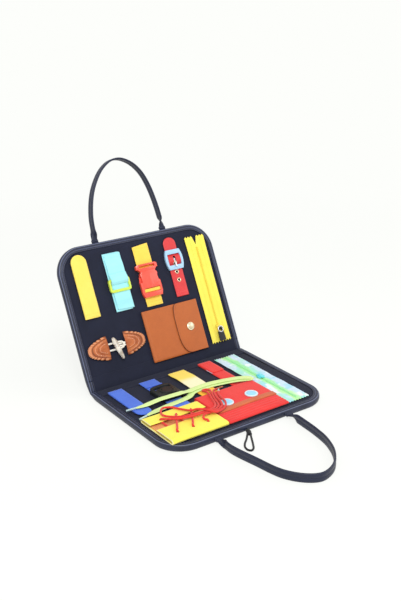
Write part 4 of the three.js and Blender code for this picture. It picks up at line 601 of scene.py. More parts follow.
def ribbon_grid(path, width, across=(1, 0, 0), columns=7, tip_end=0, skew_start=0, skew_end=0, wave=0.0,
                lift=0.0, seed=1):
    """Middle points of a strap along a path, level across it, with rounded or slanted ends."""
    s = runs(path)
    total = s[-1]
    if tip_end:
        near = tip_end * (1 - np.cos(np.linspace(0, math.pi / 2, 12)))
        s = np.sort(np.concatenate([s[total - s > tip_end * 1.02], total - near]))
    centre = sample(path, s)
    half = np.full(len(s), width / 2)
    if tip_end:
        inside = np.clip(tip_end - (total - s), 0, tip_end)
        half = np.minimum(half, width / 2 - tip_end + np.sqrt(np.maximum(tip_end ** 2 - inside ** 2, 0)))
    half = np.maximum(half, 0.5) * (1 + wave * hash_noise(s / 9, seed))
    t = np.linspace(-1, 1, columns)
    grid = centre[None] + t[:, None, None] * half[None, :, None] * np.asarray(across, float)
    tangent = unit(np.gradient(centre, axis=0))
    for skew, e in ((skew_start, s), (-skew_end, total - s)):
        if skew:
            near = np.clip(1 - e / 16, 0, 1)
            grid += (skew * near)[None, :, None] * ((t + 1) / 2)[:, None, None] * tangent[None]
    if lift:
        bump = lift * (0.5 + 0.5 * field(s[None, :] / 14, t[:, None] * 1.3 + 7, seed + 9))
        grid[..., 2] += bump * np.clip(np.minimum(s, total - s) / 8, 0, 1)[None, :]
    return grid


def strap(name, page, path, width, thickness, material, body, replaced=(), slot=None, **options):
    return dress(thick(name, page, ribbon_grid(path, width, **options), thickness, material), body, replaced)


def tube(name, page, centre, radius, material, sides=10, flat=1.0):
    """A round cord along its middle line, its ends rounded off."""
    tangent = unit(np.gradient(centre, axis=0))
    side = unit(np.cross(tangent[0], (0, 0, 1)))
    run = runs(centre)
    ring, count = circle(sides), len(centre)
    vertices, uvs = [], []
    for k in range(count):
        side = unit(side - tangent[k] * (side @ tangent[k]))
        up = np.cross(tangent[k], side)
        vertices += [centre[k] + side * a * radius + up * b * radius * flat for a, b in ring]
        uvs += [(i / sides * 2 * math.pi * radius, run[k]) for i in range(sides)]
    faces = walls(count, sides)
    for k, sign in ((0, -1), (count - 1, 1)):
        faces += [(k * sides + i, k * sides + (i + 1) % sides, len(vertices)) for i in range(sides)]
        vertices.append(centre[k] + tangent[k] * sign * radius * 0.5)
        uvs.append((0, run[k]))
    return link(name, world(page, vertices), faces, material, np.array(uvs) * MM)


def route_line(route, step):
    """The centripetal curve through a route's points, sampled closely."""
    p = np.array([(x, d, THICK + h) for x, d, h in route], float)
    q = np.concatenate([[2 * p[0] - p[1]], p, [2 * p[-1] - p[-2]]])
    t = np.linspace(0, 1, 24, endpoint=False)[:, None]
    out = []
    for i in range(1, len(q) - 2):
        p0, p1, p2, p3 = q[i - 1:i + 3]
        dt = [max(np.sum((b - a) ** 2) ** 0.25, 1e-4) for a, b in ((p0, p1), (p1, p2), (p2, p3))]
        t1 = ((p1 - p0) / dt[0] - (p2 - p0) / (dt[0] + dt[1]) + (p2 - p1) / dt[1]) * dt[1]
        t2 = ((p2 - p1) / dt[1] - (p3 - p1) / (dt[1] + dt[2]) + (p3 - p2) / dt[2]) * dt[1]
        out.append(p1 + t1 * t + (-3 * p1 + 3 * p2 - 2 * t1 - t2) * t * t + (2 * p1 - 2 * p2 + t1 + t2) * t ** 3)
    return resample(np.concatenate(out + [q[-2:-1]]), step)


def path_length(points):
    return float(runs(points)[-1])


SPINDLE = ((0, 0.35, -0.16), (0.2, 0.9, 0.02), (0.8, 0.9, 0.02), (1, 0.35, -0.16))


def stitches(name, page, lines, material, body, slot, pitch=3.4, length=2.3, width=0.5):
    """Rows of thread, each stitch a small spindle pressed into the cloth."""
    stacks, up, ring = [], np.array((0, 0, 1)), circle(6)
    for line in lines:
        total = runs(line)[-1]
        count = int(total / pitch)
        s = (np.arange(count) + 0.5) * total / max(count, 1)
        for a, b in zip(sample(line, s - length / 2), sample(line, s + length / 2)):
            side = unit(np.cross(b - a, up))
            stacks.append([[a + (b - a) * share + up * sink + (side * x + up * y * 0.8) * r * width / 2
                            for x, y in ring] for share, r, sink in SPINDLE])
    return dress(lofts(name, page, stacks, material), body, ())


def turned(name, page, x, d, z, profile, material):
    """A turned piece standing on a page: radius and height pairs from its foot to its middle."""
    rings = [[(x + r * a, d + r * b, z + h) for a, b in circle(40)] for r, h in profile]
    return lofts(name, page, [rings], material)


def hoop(name, page, x, d, z, radius, tube_radius, material, flat=1.0, tilt=0.0):
    """A ring lying on a page, or tilted about its width."""
    segments, sides = 32, 10
    vertices = []
    for a, b in circle(segments):
        for p, q in circle(sides):
            r, rise = radius + tube_radius * p, tube_radius * flat * q
            vertices.append((x + r * a, d + r * b * math.cos(tilt) - rise * math.sin(tilt),
                             z + r * b * math.sin(tilt) + rise * math.cos(tilt)))
    faces = [tuple(i % len(vertices) for i in face) for face in walls(segments + 1, sides)]
    return link(name, world(page, vertices), faces, material, np.array(vertices)[:, :2] * MM)


def carve(obj, cutters):
    """Cuts closed shapes out of a mesh and keeps the result as its mesh."""
    for cutter in cutters:
        modifier = obj.modifiers.new("cut", "BOOLEAN")
        modifier.operation = "DIFFERENCE"
        modifier.solver = "EXACT"
        modifier.object = cutter
    bpy.context.view_layer.update()
    apply_modifiers(obj)
    for cutter in cutters:
        bpy.data.objects.remove(cutter)


def apply_modifiers(obj):
    evaluated = obj.evaluated_get(bpy.context.evaluated_depsgraph_get())
    mesh = bpy.data.meshes.new_from_object(evaluated)
    obj.modifiers.clear()
    obj.data = mesh


def cylinder(page, x, d, z0, z1, radius, stretch=0):
    """A cutter: an upright cylinder, or a slot stretched along d."""
    count = 24
    angles = [k / count * 2 * math.pi for k in range(count)]
    ring = [(x + radius * math.cos(a), d + radius * math.sin(a) + (stretch if math.sin(a) > 0 else -stretch) / 2)
            for a in angles]
    faces = [list(range(count)), list(range(count, 2 * count))] + walls(2, count)
    obj = link("cutter", world(page, [(a, b, z) for z in (z0, z1) for a, b in ring]), faces, steel)
    obj.hide_render = True
    return obj


def smoothed(obj, levels):
    more = obj.modifiers.new("smooth", "SUBSURF")
    more.levels = more.render_levels = levels


def moulded(name, material, bevel=0.35, smooth=0):
    """A rigid CAD piece kept as it is, its edges rounded and its material given."""
    obj = nodes[name]
    obj.data.materials.clear()
    obj.data.materials.append(material)
    for polygon in obj.data.polygons:
        polygon.material_index = 0
        polygon.use_smooth = True
    weld = obj.modifiers.new("weld", "WELD")
    weld.merge_threshold = 0.00002
    if bevel:
        edge = obj.modifiers.new("edge", "BEVEL")
        edge.width = bevel * MM
        edge.segments = 2
        edge.limit_method = "ANGLE"
        edge.angle_limit = math.radians(28)
        edge.use_clamp_overlap = True
        edge.harden_normals = True
    if smooth:
        smoothed(obj, smooth)
    return obj


# ---------------------------------------------------------------- cords and laces

def under_eyelets(x):
    """The lace's way down through an outer eyelet, along inside the sleeve and up through the inner one."""
    down = [(171.2, 8.4), (172.8, 7.4), (173.1, 6), (172.6, 4.8), (170.8, 4), (166, 4), (152, 4)]
    up = [(137, 4), (133.2, 4), (131.4, 4.8), (130.9, 6), (131.2, 7.4)]
    return [(x, d, h) for d, h in down + up]


RED_ROUTE = [
    (12, 95.6, 3.8), (8, 96.4, 4.1), (4.5, 98.6, 5.2), (1, 103, 7.1), (-3, 111, 7.1), (-9, 126, 7.8),
    (-13, 140, 9), (-18.5, 150.5, 9), (-29, 157.6, 9.2), (-41, 160.7, 10.6), (-52, 161, 11.4),
    (-58, 162, 11.2), (-61.8, 165.4, 9.6), (-61.2, 169, 8.5), *under_eyelets(-59), (-60, 132.9, 8.4),
    (-62.5, 137, 8.6), (-70, 150, 8.6), (-80.5, 167.5, 8.6), *under_eyelets(-83.5),
    (-84.5, 132.9, 8.4), (-87.5, 137, 8.6), (-96, 151, 8.6), (-106, 167.5, 8.6), *under_eyelets(-109),
    (-108.8, 132.9, 8.5), (-107.2, 137, 9.6), (-101, 146, 11.7), (-86, 153.5, 11.8),
    (-70, 157, 11.8), (-56, 157, 11.4), (-44, 156.9, 10.6), (-32, 154, 9), (-22.5, 147, 8.2),
    (-17.4, 138, 7.4), (-13, 125, 7.1), (-7.5, 112, 7.1), (-3, 102, 7), (0, 94, 5), (-1, 88, 3.8),
    (-6, 86.5, 3.8), (-9.5, 91, 5), (-9, 101, 7), (-11.5, 111, 7.1), (-16.5, 124, 7.1), (-20.8, 136, 7.4),
    (-25.5, 144, 8.2), (-33.5, 150.3, 9), (-44, 153.4, 10.6), (-56, 153.4, 11.4), (-70, 153, 11.8),
    (-85, 149, 11.8), (-97, 141, 11.6), (-103, 130, 10.6), (-99.5, 117, 9), (-90, 107.5, 8.5),
    (-79.5, 112, 8.6), (-72, 127, 9.6), (-66, 142, 12.2), (-60, 147.5, 14.6), (-54, 153.4, 15.2),
    (-49, 160, 15), (-42, 164.9, 12), (-31, 162.4, 9.6), (-16.5, 155.2, 9), (-8.5, 144.5, 9.2),
    (-4.5, 130, 8.8), (-2, 122, 7.6), (1.5, 114, 7.1), (5.5, 109, 7.1),
]
LIME_ROUTE = [
    (-117, 79.8, 5.5), (-104, 80.5, 5.5), (-91, 81.5, 7.2), (-78, 83.6, 9.6), (-66, 85, 10.2), (-52, 85.4, 10.2),
    (-39, 83.8, 9), (-28, 80, 5.4), (-14, 77, 4.7), (0, 75.8, 4.7), (14, 76, 4.6), (30, 79, 4.8), (45, 85, 6.2),
    (56, 92, 8), (65, 99, 8.8), (69, 102.5, 8.7), (70.3, 103.6, 7.9), (68.4, 103.4, 7.1), (63.4, 101.4, 7),
    (53.4, 95.4, 6.2),
    (43, 88.6, 4.4), (29, 83, 3), (13.6, 80.2, 2.9), (0, 80, 2.9), (-13, 81, 2.9), (-23, 83.4, 2.9), (-33, 90.2, 2.8),
    (-46, 93.2, 2.7), (-58, 94.6, 2.7), (-72, 95.6, 2.6), (-87, 98, 2.5), (-98, 101.4, 3.6), (-108, 104.6, 4.6),
    (-115, 106.4, 4.6),
]
CLOSURE_ROUTE = [
    (-15, 209.2, -7.1), (-17.8, 213.8, -7.8), (-21.5, 219.6, -8.4), (-27.5, 229.5, -8.4), (-34, 240, -8.4),
    (-39.5, 247.3, -8.4), (-44.5, 249.5, -8.4), (-47.3, 245.5, -8.4), (-46, 238, -8.4), (-40, 229.8, -8.4),
    (-33, 223.6, -8.4), (-27, 217.6, -8.4), (-22.8, 213.2, -7.8), (-19.1, 209.2, -7.1),
]
TOGGLE_LOOP_ROUTE = [
    (-92.6, 49.6, 1.6), (-88, 49.6, 1.6), (-80, 49.6, 1.6), (-73, 49.6, 1.8), (-69.5, 48.8, 3.2),
    (-67.8, 46.6, 4.3), (-67.4, 44.6, 4.35), (-67.8, 42.6, 4.3), (-69.5, 40.4, 3.2), (-73, 39.6, 1.8),
    (-80, 39.6, 1.6), (-88, 39.6, 1.6), (-92.6, 39.6, 1.6),
]
TOGGLE_CORD_ROUTE = [
    (-63.4, 46.4, 1.6), (-68, 46.4, 1.6), (-74, 46.4, 1.6), (-79, 46.4, 2.4), (-81.6, 45.9, 3.5),
    (-82.3, 44.6, 3.8), (-81.6, 43.3, 3.5), (-79, 42.8, 2.4), (-74, 42.8, 1.6), (-68, 42.8, 1.6),
    (-63.4, 42.8, 1.6),
]
RED_LACE = 3.0
LIME_WIDTH = 9.5
LIME_THICKNESS = 1.1
LOOP_CORD = 3.0
TOGGLE_CORD = 2.9


def lace_grid(line, width, columns=7):
    """A flat lace along a line, level across its width."""
    tangent = np.gradient(line, axis=0)
    level = np.stack([-tangent[:, 1], tangent[:, 0], np.zeros(len(line))], 1)
    level /= np.maximum(np.linalg.norm(level, axis=1, keepdims=True), 1e-9)
    for k in range(1, len(level)):
        if level[k] @ level[k - 1] < 0:
            level[k] *= -1
    ends = np.minimum(np.arange(len(line)), np.arange(len(line))[::-1]) / len(line)
    half = width / 2 * (0.34 + 0.66 * np.clip(ends / 0.05, 0, 1) ** 0.7)
    return line[None] + np.linspace(-1, 1, columns)[:, None, None] * half[None, :, None] * level[None]


def make_cords():
    line = route_line(RED_ROUTE, 0.9)
    red = dress(tube("red_lace_cord", "front", line, RED_LACE / 2, red_braid, sides=12), "base", "red_lace")
    aglets = [moulded("red_aglet_brown", brown_plastic, 0.3), moulded("red_aglet_clear", clear_plastic, 0.3)]
    path = world("front", line)
    path_length(path)
    line = route_line(LIME_ROUTE, 1.2)
    lime = dress(thick("lime_flat_lace", "front", lace_grid(line, LIME_WIDTH), LIME_THICKNESS, lime_cloth,
                       shoulder=0.6), "base", "lime_lace")
    aglets = [moulded("lime_aglet_upper", clear_plastic, 0.3), moulded("lime_aglet_lower", clear_plastic, 0.3)]
    path = world("front", line)
    path_length(path)
    line = route_line(CLOSURE_ROUTE, 0.9)
    loop = dress(tube("closure_elastic", "front", line, LOOP_CORD / 2, black_twist, sides=14), "base", "closure_loop")
    path = world("front", line)
    path_length(path)
    stem = resample([(-16.6, 205.6, 3.4), (-18.2, 210.5, 2.8), (-20.4, 215.6, 2.4)], 0.9)
    dress(tube("closure_stem", "front", stem, 3.3, black_twist, sides=14, flat=0.62), "base", ())
    dress(tube("toggle_loop_cord", "rear", route_line(TOGGLE_LOOP_ROUTE, 0.6), TOGGLE_CORD / 2, cream_twist, sides=12),
          "rear_leaf", "toggle_loop")
    dress(tube("toggle_hold_cord", "rear", route_line(TOGGLE_CORD_ROUTE, 0.6), TOGGLE_CORD / 2, cream_twist, sides=12),
          "rear_leaf", "toggle_cord")


make_cords()


# ---------------------------------------------------------------- leaf shells

def leaf_outline(inset, start):
    """The leaf's edge from one fold end round to the other, drawn in by an inset."""
    half = LEAF_WIDTH / 2 - inset
    far = LEAF_DEPTH - inset
    radius = CORNER - inset
    points = [(half, start)]
    for cx, turn in ((half - radius, 0), (-half + radius, 1)):
        for k in range(25):
            a = math.pi / 2 * (turn + k / 24)
            points.append((cx + radius * math.cos(a), far - radius + radius * math.sin(a)))
    points.append((-half, start))
    return np.array(points)


STITCHED = {
    "front": [(-122, -99, 8, 20), (-67.5, -40.5, 6, 14), (-15, 14, 6, 16), (-15, 14, 88, 98), (41, 63, 6, 14),
              (41, 63, 88, 98), (73, 111, 6, 12), (73, 111, 182, 190), (-130, -36, 110, 116), (-130, -36, 186, 192),
              (-35, 71, 102, 108), (-35, 71, 186, 191), (-69, -42, 104, 110)],
    "rear": [(-117, -92, 93, 104), (-63, -33, 93, 102), (-63, -33, 178, 185), (-9, 19, 89, 97), (-9, 19, 178, 185),
             (47, 70, 93, 102), (47, 70, 180, 189), (89, 125, 5, 12), (89, 125, 176, 184), (-25, 78, 3, 9),
             (-25, 78, 78, 84), (-126, -93, 28, 62), (-63, -30, 28, 62)],
}


def vertex_places(mesh):
    return np.array([v.co for v in mesh.vertices], float)


def pad(name, page, inset, start, z0, z1, cap, material, pins, seed, top_sign=1):
    """A foam-filled layer: a remeshed slab that Blender's Cloth swells between the places sewn down."""
    outline = leaf_outline(inset, start)
    count = len(outline)
    vertices = [(x, d, z) for z in (z0, z1) for x, d in outline]
    faces = [list(range(count)), list(range(count, 2 * count))] + walls(2, count)
    obj = link(name, world(page, vertices), faces, material)
    remesh = obj.modifiers.new("remesh", "REMESH")
    remesh.mode = "VOXEL"
    remesh.voxel_size = 4.0 * MM
    apply_modifiers(obj)
    rest = vertex_places(obj.data)
    local = unpage(page, rest)
    x, d = local[:, 0], local[:, 1]
    sewn = d < start + 4
    for x0, x1, d0, d1 in pins:
        sewn |= (x > x0) & (x < x1) & (d > d0) & (d < d1)
    obj.vertex_groups.new(name="sewn").add(np.nonzero(sewn)[0].tolist(), 1.0, "REPLACE")
    local = unpage(page, rest + cloth_shift(obj, rest, cap))
    x, d, z = local.T
    top = z > (z0 + z1) / 2
    ripple = 0.22 * field(x / 21, d / 17, seed) + 0.12 * field(x / 8, d / 9, seed + 3)
    if top_sign > 0:
        raised = z1 - (z[top].max() - z) * 0.8 - 0.25 + ripple
        local[:, 2] = np.where(top, np.minimum(raised, z1 + 0.1), np.maximum(z, z0))
    else:
        local[:, 2] = np.where(top, np.minimum(z, z1), np.maximum(z, z0 - cap) + ripple * 0.6)
    near = d < start + 0.1
    local[near, 1] = np.maximum(local[near, 1], start - 0.2)
    obj.data.vertices.foreach_set("co", world(page, local).astype(np.float32).ravel())
    obj.data.update()
    smoothed(obj, 1)
    apply_modifiers(obj)
    page_uv(obj, page)
    obj.data.polygons.foreach_set("use_smooth", [True] * len(obj.data.polygons))
    if not obj.data.materials:
        obj.data.materials.append(material)
    return obj


def cloth_shift(obj, rest, cap):
    """How far Cloth's pressure moves each vertex of a slab, at most cap millimetres."""
    cloth = obj.modifiers.new("cloth", "CLOTH")
    cloth.settings.use_pressure = True
    cloth.settings.uniform_pressure_force = 4.0
    cloth.settings.effector_weights.gravity = 0.0
    cloth.settings.vertex_group_mass = "sewn"
    cloth.point_cache.frame_start = 1
    cloth.point_cache.frame_end = 14
    for f in range(1, 13):
        scene.frame_set(f)
    bpy.context.view_layer.update()
    evaluated = obj.evaluated_get(bpy.context.evaluated_depsgraph_get())
    shift = vertex_places(evaluated.data) - rest
    obj.modifiers.clear()
    scene.frame_set(1)
    return shift * np.minimum(1, cap * MM / np.maximum(np.linalg.norm(shift, axis=1, keepdims=True), 1e-9))


def page_uv(obj, page):
    """Gives a mesh the page's own millimetres as its texture places."""
    mesh = obj.data
    local = unpage(page, vertex_places(mesh))
    layer = mesh.uv_layers.get("UVMap") or mesh.uv_layers.new(name="UVMap")
    index = np.zeros(len(mesh.loops), int)
    mesh.loops.foreach_get("vertex_index", index)
    layer.data.foreach_set("uv", (local[index][:, :2] * MM).ravel())


BINDING_SECTION = np.array([
    (9.3, 9.0), (9.25, 9.9), (8.9, 10.3), (8.1, 10.35), (7.4, 10.0), (6.9, 9.95), (6.2, 10.25), (5, 10.5),
    (3.9, 10.35), (3.2, 9.85), (2.8, 9.8), (2.3, 10.1), (1.5, 9.95), (0.75, 8.9), (0.2, 7.4), (0, 5.6),
    (0.12, 3.7), (0.75, 1.9), (1.9, 0.55), (3.4, 0.06), (6.7, 0.02), (7.5, 0.16), (8.3, 0.02), (9.1, 0.12),
    (9.2, 0.5), (6, 1.2), (3, 2.2), (1.6, 5), (3, 7.6), (6, 8.4),
])
BINDING_RUN = runs(BINDING_SECTION)


def binding(page, body, prefix, seed):
    """The rolled binding round a leaf's three free sides, drawn along its outline."""
    base = resample(leaf_outline(0, FOLD_SETBACK - 0.6), 2.6)
    tangent = unit(np.gradient(base, axis=0))
    inward = np.stack([-tangent[:, 1], tangent[:, 0]], 1)
    rings, uvs = [], []
    for p, n, s in zip(base, inward, runs(base)):
        swell = [0.16 * float(field(s / 11, i * 0.6, seed)) if 4 < i < 9 else 0
                 for i in range(len(BINDING_SECTION))]
        rings.append([(*(p + n * inset), z + more) for (inset, z), more in zip(BINDING_SECTION, swell)])
        uvs.append([(u, s) for u in BINDING_RUN])
    obj = lofts(prefix + "_rolled_binding", page, [rings], binding_skin, uvs)
    dress(obj, body, prefix + "_binding")
    seam = [(p[0], p[1], 10.24) for p in base + inward * 7.5]
    stitches(prefix + "_binding_stitches", page, [seam], navy_thread, body, "navy_binding", pitch=3.6,
             length=2.6, width=0.55)


HANDLE_PLACES = (-65, 57)


def handle_tabs(page, body, prefix):
    """Short doubled tabs that the handle's ends are sewn into, each with a roll at its mouth."""
    for side, x in zip(("left", "right"), HANDLE_PLACES):
        line = soft_path([(x, 199, 7.6), (x, 202.5, 6.8), (x, 205.7, 5)], 0.6, 1.8)
        top = ribbon_grid(line, 10.5, columns=7, tip_end=1.0)
        dress(thick(f"{prefix}_handle_tab_{side}", page, top, 2.2, handle_skin), body, ())
        roll = resample([(x - 4.9, 207.0, 4.9), (x + 4.9, 207.0, 4.9)], 1.0)
        dress(tube(f"{prefix}_handle_roll_{side}", page, roll, 2.3, handle_skin, sides=12), body, ())


def leaf(page, body, prefix, seed):
    lining = pad(prefix + "_lining_pad", page, 5.0, FOLD_SETBACK, 3.0, 10.0, 1.1, lining_cloth, STITCHED[page], seed)
    dress(lining, body, (prefix + "_lining", prefix + "_board"))
    foot, cap = (0.0, 1.6) if page == "rear" else (0.25, 0.2)
    cover = pad(prefix + "_cover_pad", page, 5.0, FOLD_SETBACK - 2, foot, 6.0, cap, cover_cloth, [], seed + 20,
                top_sign=-1)
    if page == "front":
        places = unpage(page, vertex_places(cover.data))
        places[:, 2] = np.maximum(places[:, 2], 0.1)
        cover.data.vertices.foreach_set("co", world(page, places).astype(np.float32).ravel())
    dress(cover, body, prefix + "_cover")
    binding(page, body, prefix, seed)
    handle_tabs(page, body, prefix)


leaf("front", "base", "front", 3)
leaf("rear", "rear_leaf", "rear", 8)


# ---------------------------------------------------------------- soft spine

SPINE_STEPS = 44
SPINE_LINE_STEP = 1.2


def crease_sections():
    """Inner and outer lines of the soft spine in world y and z, from the front leaf to the rear leaf."""
    half = HALF_DEPTH
    inner = [(half - 9, 9.75), (half - 4, 9.85), (half + 3, 9.9), (half + 8, 9.8), (half + 9.6, 9.2),
             (half + 10.6, 7.6), (half + 11.6, 9.4)]
    inner += [rear_place(d, z) for d, z in ((-7.2, 10.05), (-3, 10.05), (4, 9.85), (9, 9.75))]
    outer = [(half - 9, 0.35), (half - 3, 0.3)]
    for share in np.linspace(0, 1, 9):
        out = 2.2 * math.sin(share * math.pi)
        outer.append((half + SPINE * share * SPINE_COS + out * SPINE_SIN,
                      SPINE * share * SPINE_SIN - out * SPINE_COS + 0.3))
    outer += [rear_place(3, 0.3), rear_place(9, 0.35)]
    for line in (inner, outer):
        line = resample(line, SPINE_LINE_STEP)
        yield sample(line, np.linspace(0, 1, SPINE_STEPS) * path_length(line))


def soft_spine():
    """The fabric that joins the leaves, in two halves that meet along the middle of the spine."""
    inner, outer = crease_sections()
    xs = np.concatenate([[-139.6, -138.8, -137], np.linspace(-134, 134, 60), [137, 138.8, 139.6]])
    middle = (inner + outer) / 2
    split = SPINE_STEPS // 2
    front_blend = (HALF_DEPTH - 8, 4), (HALF_DEPTH + 9, 6)
    rear_blend = ((REAR_Y - 12 * SPINE_COS, REAR_Z - 12 * SPINE_SIN),
                  (REAR_Y + 2 * REAR_COS, REAR_Z + 2 * REAR_SIN))
    for part, k0, k1, pair, replaced, (start, end) in (
        ("front", 0, split + 1, ("base", "spine"), ("spine_cover", "spine_lining"), front_blend),
        ("rear", split, SPINE_STEPS, ("spine", "rear_leaf"), (), rear_blend),
    ):
        rings, uvs = [], []
        for x in xs:
            squeeze = max(math.sqrt(max(0.0, 1 - (max(abs(x) - 134, 0) / 5.8) ** 2)), 0.12)
            ring = []
            for source, sign, order in ((inner, 1, range(k0, k1)), (outer, -1, range(k1 - 1, k0 - 1, -1))):
                for k in order:
                    y, z = middle[k] + (source[k] - middle[k]) * squeeze
                    if sign > 0 and 4 < k < SPINE_STEPS - 5:
                        z += 0.25 * float(field(x / 13, k / 5, 31))
                    ring.append((x, y, z))
                    uvs.append((x, k * SPINE_LINE_STEP * sign))
            rings.append(ring)
        obj = lofts("spine_fabric_" + part, "scene", [rings], lining_cloth, uvs)
        if replaced:
            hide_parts(*replaced)
        made = [(obj, "navy_fabric")]
        for side, word in ((-1, "left"), (1, "right")):
            made.append((crease_edge(f"crease_edge_{part}_{word}", side, inner[k0:k1], outer[k0:k1]), "navy_binding"))
        for obj, slot in made:
            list(pair)
            start[0] * MM
            start[1] * MM
            end[0] * MM
            end[1] * MM
            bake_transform(obj)


def crease_edge(name, side, inner, outer):
    """The binding's own roll, carried on along one end of the soft spine."""
    rings = [[(side * (LEAF_WIDTH / 2 - 0.2 - inset), *(low + (high - low) * z / THICK))
              for inset, z in BINDING_SECTION] for high, low in zip(inner, outer)]
    uvs = [[(u, k * SPINE_LINE_STEP) for u in BINDING_RUN] for k in range(len(inner))]
    return lofts(name, "scene", [rings], binding_skin, uvs)


soft_spine()


# ---------------------------------------------------------------- handles

FRONT_HANDLE = (151, [-1, -1.03, -1.07, -0.97, -0.82, -0.54, -0.25, 0.16, 0.54, 0.79, 0.9, 0.95, 0.98, 1],
                [0, 0.07, 0.2, 0.48, 0.78, 0.94, 1, 0.95, 0.8, 0.6, 0.4, 0.22, 0.08, 0])
REAR_HANDLE = (117, [-1, -1, -0.98, -0.85, -0.67, -0.43, -0.15, 0.13, 0.44, 0.66, 0.81, 0.92, 0.98, 1],
               [0, 0.1, 0.31, 0.57, 0.75, 0.9, 0.99, 1, 0.92, 0.79, 0.61, 0.36, 0.1, 0])
HANDLE_WIDTH, HANDLE_CAD_WIDTH, HANDLE_THICK, ROOT_LOSS = 13.2, 9.6, 3.0, 3.8
HANDLE_TWIST_SHARE = 0.06
HANDLE_FACE = [(-1, 0.0), (-0.97, 0.55), (-0.86, 0.92), (-0.5, 1.0), (-0.12, 0.94), (0, 0.62), (0.12, 0.94),
                  (0.5, 1.0), (0.86, 0.92), (0.97, 0.55)]
HANDLE_SECTION = HANDLE_FACE + [(-a, -b) for a, b in HANDLE_FACE]


def handle(page, body, name, shape, node):
    """A folded leatherette strap, narrow and flat at its tabs, that soon stands on edge along its loop."""
    reach, across_shares, out_shares = shape
    line = route_line([(-4 + a * 61, b * reach, -THICK) for a, b in zip(across_shares, out_shares)], 2.0)
    n = len(line)
    tangent = np.gradient(line, axis=0)
    tangent[0], tangent[-1] = (0, 1, 0), (0, -1, 0)
    rings, uvs, upright = [], [], np.array((0, 0, 1))
    for k, ahead in enumerate(unit(tangent)):
        near = np.clip(min(k, n - 1 - k) / (n - 1) / HANDLE_TWIST_SHARE, 0, 1)
        turn = near * near * (3 - 2 * near) * math.pi / 2
        across = unit(np.cross(ahead, upright)) * math.cos(turn) + upright * math.sin(turn)
        up = np.cross(ahead, across)
        middle = line[k] + upright * math.sin(turn) * (HANDLE_WIDTH - HANDLE_CAD_WIDTH) / 2
        broad = HANDLE_WIDTH - ROOT_LOSS * math.cos(turn)
        rings.append([middle + across * a * broad / 2 + up * b * HANDLE_THICK / 2 for a, b in HANDLE_SECTION])
        uvs.append([(a * HANDLE_WIDTH / 2, k * 2) for a, b in HANDLE_SECTION])
    return dress(lofts(name, page, [rings], handle_skin, uvs), body, node)


handle("front_handle", "front_handle_body", "front_handle_strap", FRONT_HANDLE, "front_handle")
handle("rear_handle", "rear_handle_body", "rear_handle_strap", REAR_HANDLE, "rear_handle")


# ---------------------------------------------------------------- straps

LINING = THICK
LOW = LINING + 0.3
WEB = 1.4
WEB_MIDDLE = LOW + WEB / 2
LOOP_THICK, HOOK_THICK = 1.2, 1.5
FINE = dict(pitch=3, length=2.2, width=0.45)


def thread(colour, base, dark):
    return fabric(colour + "_thread", base, dark, pitch=0.5, kind="twill")


def flat_line(x, d0, d1, z, step=2.0):
    return resample([(x, d0, z), (x, d1, z)], step)


def column(x, places, step, window):
    """A soft path that keeps one x."""
    return soft_path([(x, d, z) for d, z in places], step, window)


def box_stitch(x, half, d0, d1, z, inset=2.0):
    a, b, d0 = x - half + inset, x + half - inset, d0 + inset
    return [[(a, d0, z), (b, d0, z)], [(a, d1, z), (b, d1, z)], [(a, d0, z), (a, d1, z)], [(b, d0, z), (b, d1, z)]]


def hook_and_loop(colour, page, body, slot, x, start, loops, hooks, seed, sewn, shades):
    """A loop strip and the hook strap over it: each an end, a width, a rounded tip and a cloth."""
    z_loop, z_hook = LOW + LOOP_THICK / 2, LOW + LOOP_THICK + 0.3 + HOOK_THICK / 2
    end, width, tip, cloth = loops
    strap(colour + "_loop_band", page, flat_line(x, start, end, z_loop), width, LOOP_THICK, cloth, body,
          colour + "_loop_strip", slot, tip_end=tip)
    end, width, tip, cloth = hooks
    strap(colour + "_hook_band", page, flat_line(x, start, end, z_hook), width, HOOK_THICK, cloth, colour + "_hook",
          colour + "_hook_strap", slot, tip_end=tip, wave=0.012, columns=9, seed=seed)
    made, half, last = thread(colour, *shades), *sewn
    stitches(colour + "_hook_stitches", page, box_stitch(x, half, start, last, z_hook + 0.76), made,
             colour + "_hook", slot)
    return made


yellow_thread = hook_and_loop("yellow", "rear", "rear_leaf", "yellow_fabric", -104.5, 93.6,
                              (183.6, 24.4, 12, yellow_loops), (190.6, 25, 12.4, yellow_felt), 3, (12.5, 100),
                              (0xE8CC50, 0xC8A838))
hook_and_loop("blue", "front", "base", "blue_webbing", -110.5, 9.6, (92.6, 22.4, 11, blue_web),
              (99.6, 23, 11.4, blue_felt), 4, (11.5, 16), (0x3A5FD0, 0x2A48A8))
hook_and_loop("red", "front", "base", "red_fabric", 52, 7, (97.5, 22.5, 3.5, red_felt),
              (46, 22.5, 3.5, red_felt), 5, (11.2, 13), (0xD03030, 0xA82020))
strap("red_hook_face", "front", flat_line(50.9, 30, 45.4, LOW + 1.63), 22, 0.4, pale_cloth, "red_hook", (),
      "red_fabric", tip_end=2, columns=7)


def plain_yellow_strap():
    low = WEB_MIDDLE
    path = column(-0.5, [(7, low), (16.7, low), (26.3, low + 1.1), (36, low + 1.5), (62, low + 0.9),
                         (74, low + 0.1), (97.5, low)], 1.6, 8)
    strap("yellow_plain_strap", "front", path, 29, WEB, strap_graded, "base", "yellow_strap", "yellow_webbing",
          columns=11, wave=0.01, seed=8)
    stitches("yellow_strap_stitches", "front", box_stitch(-0.5, 14.5, 7, 12.6, low + WEB / 2 + 0.02),
             yellow_thread, "base", "yellow_webbing")


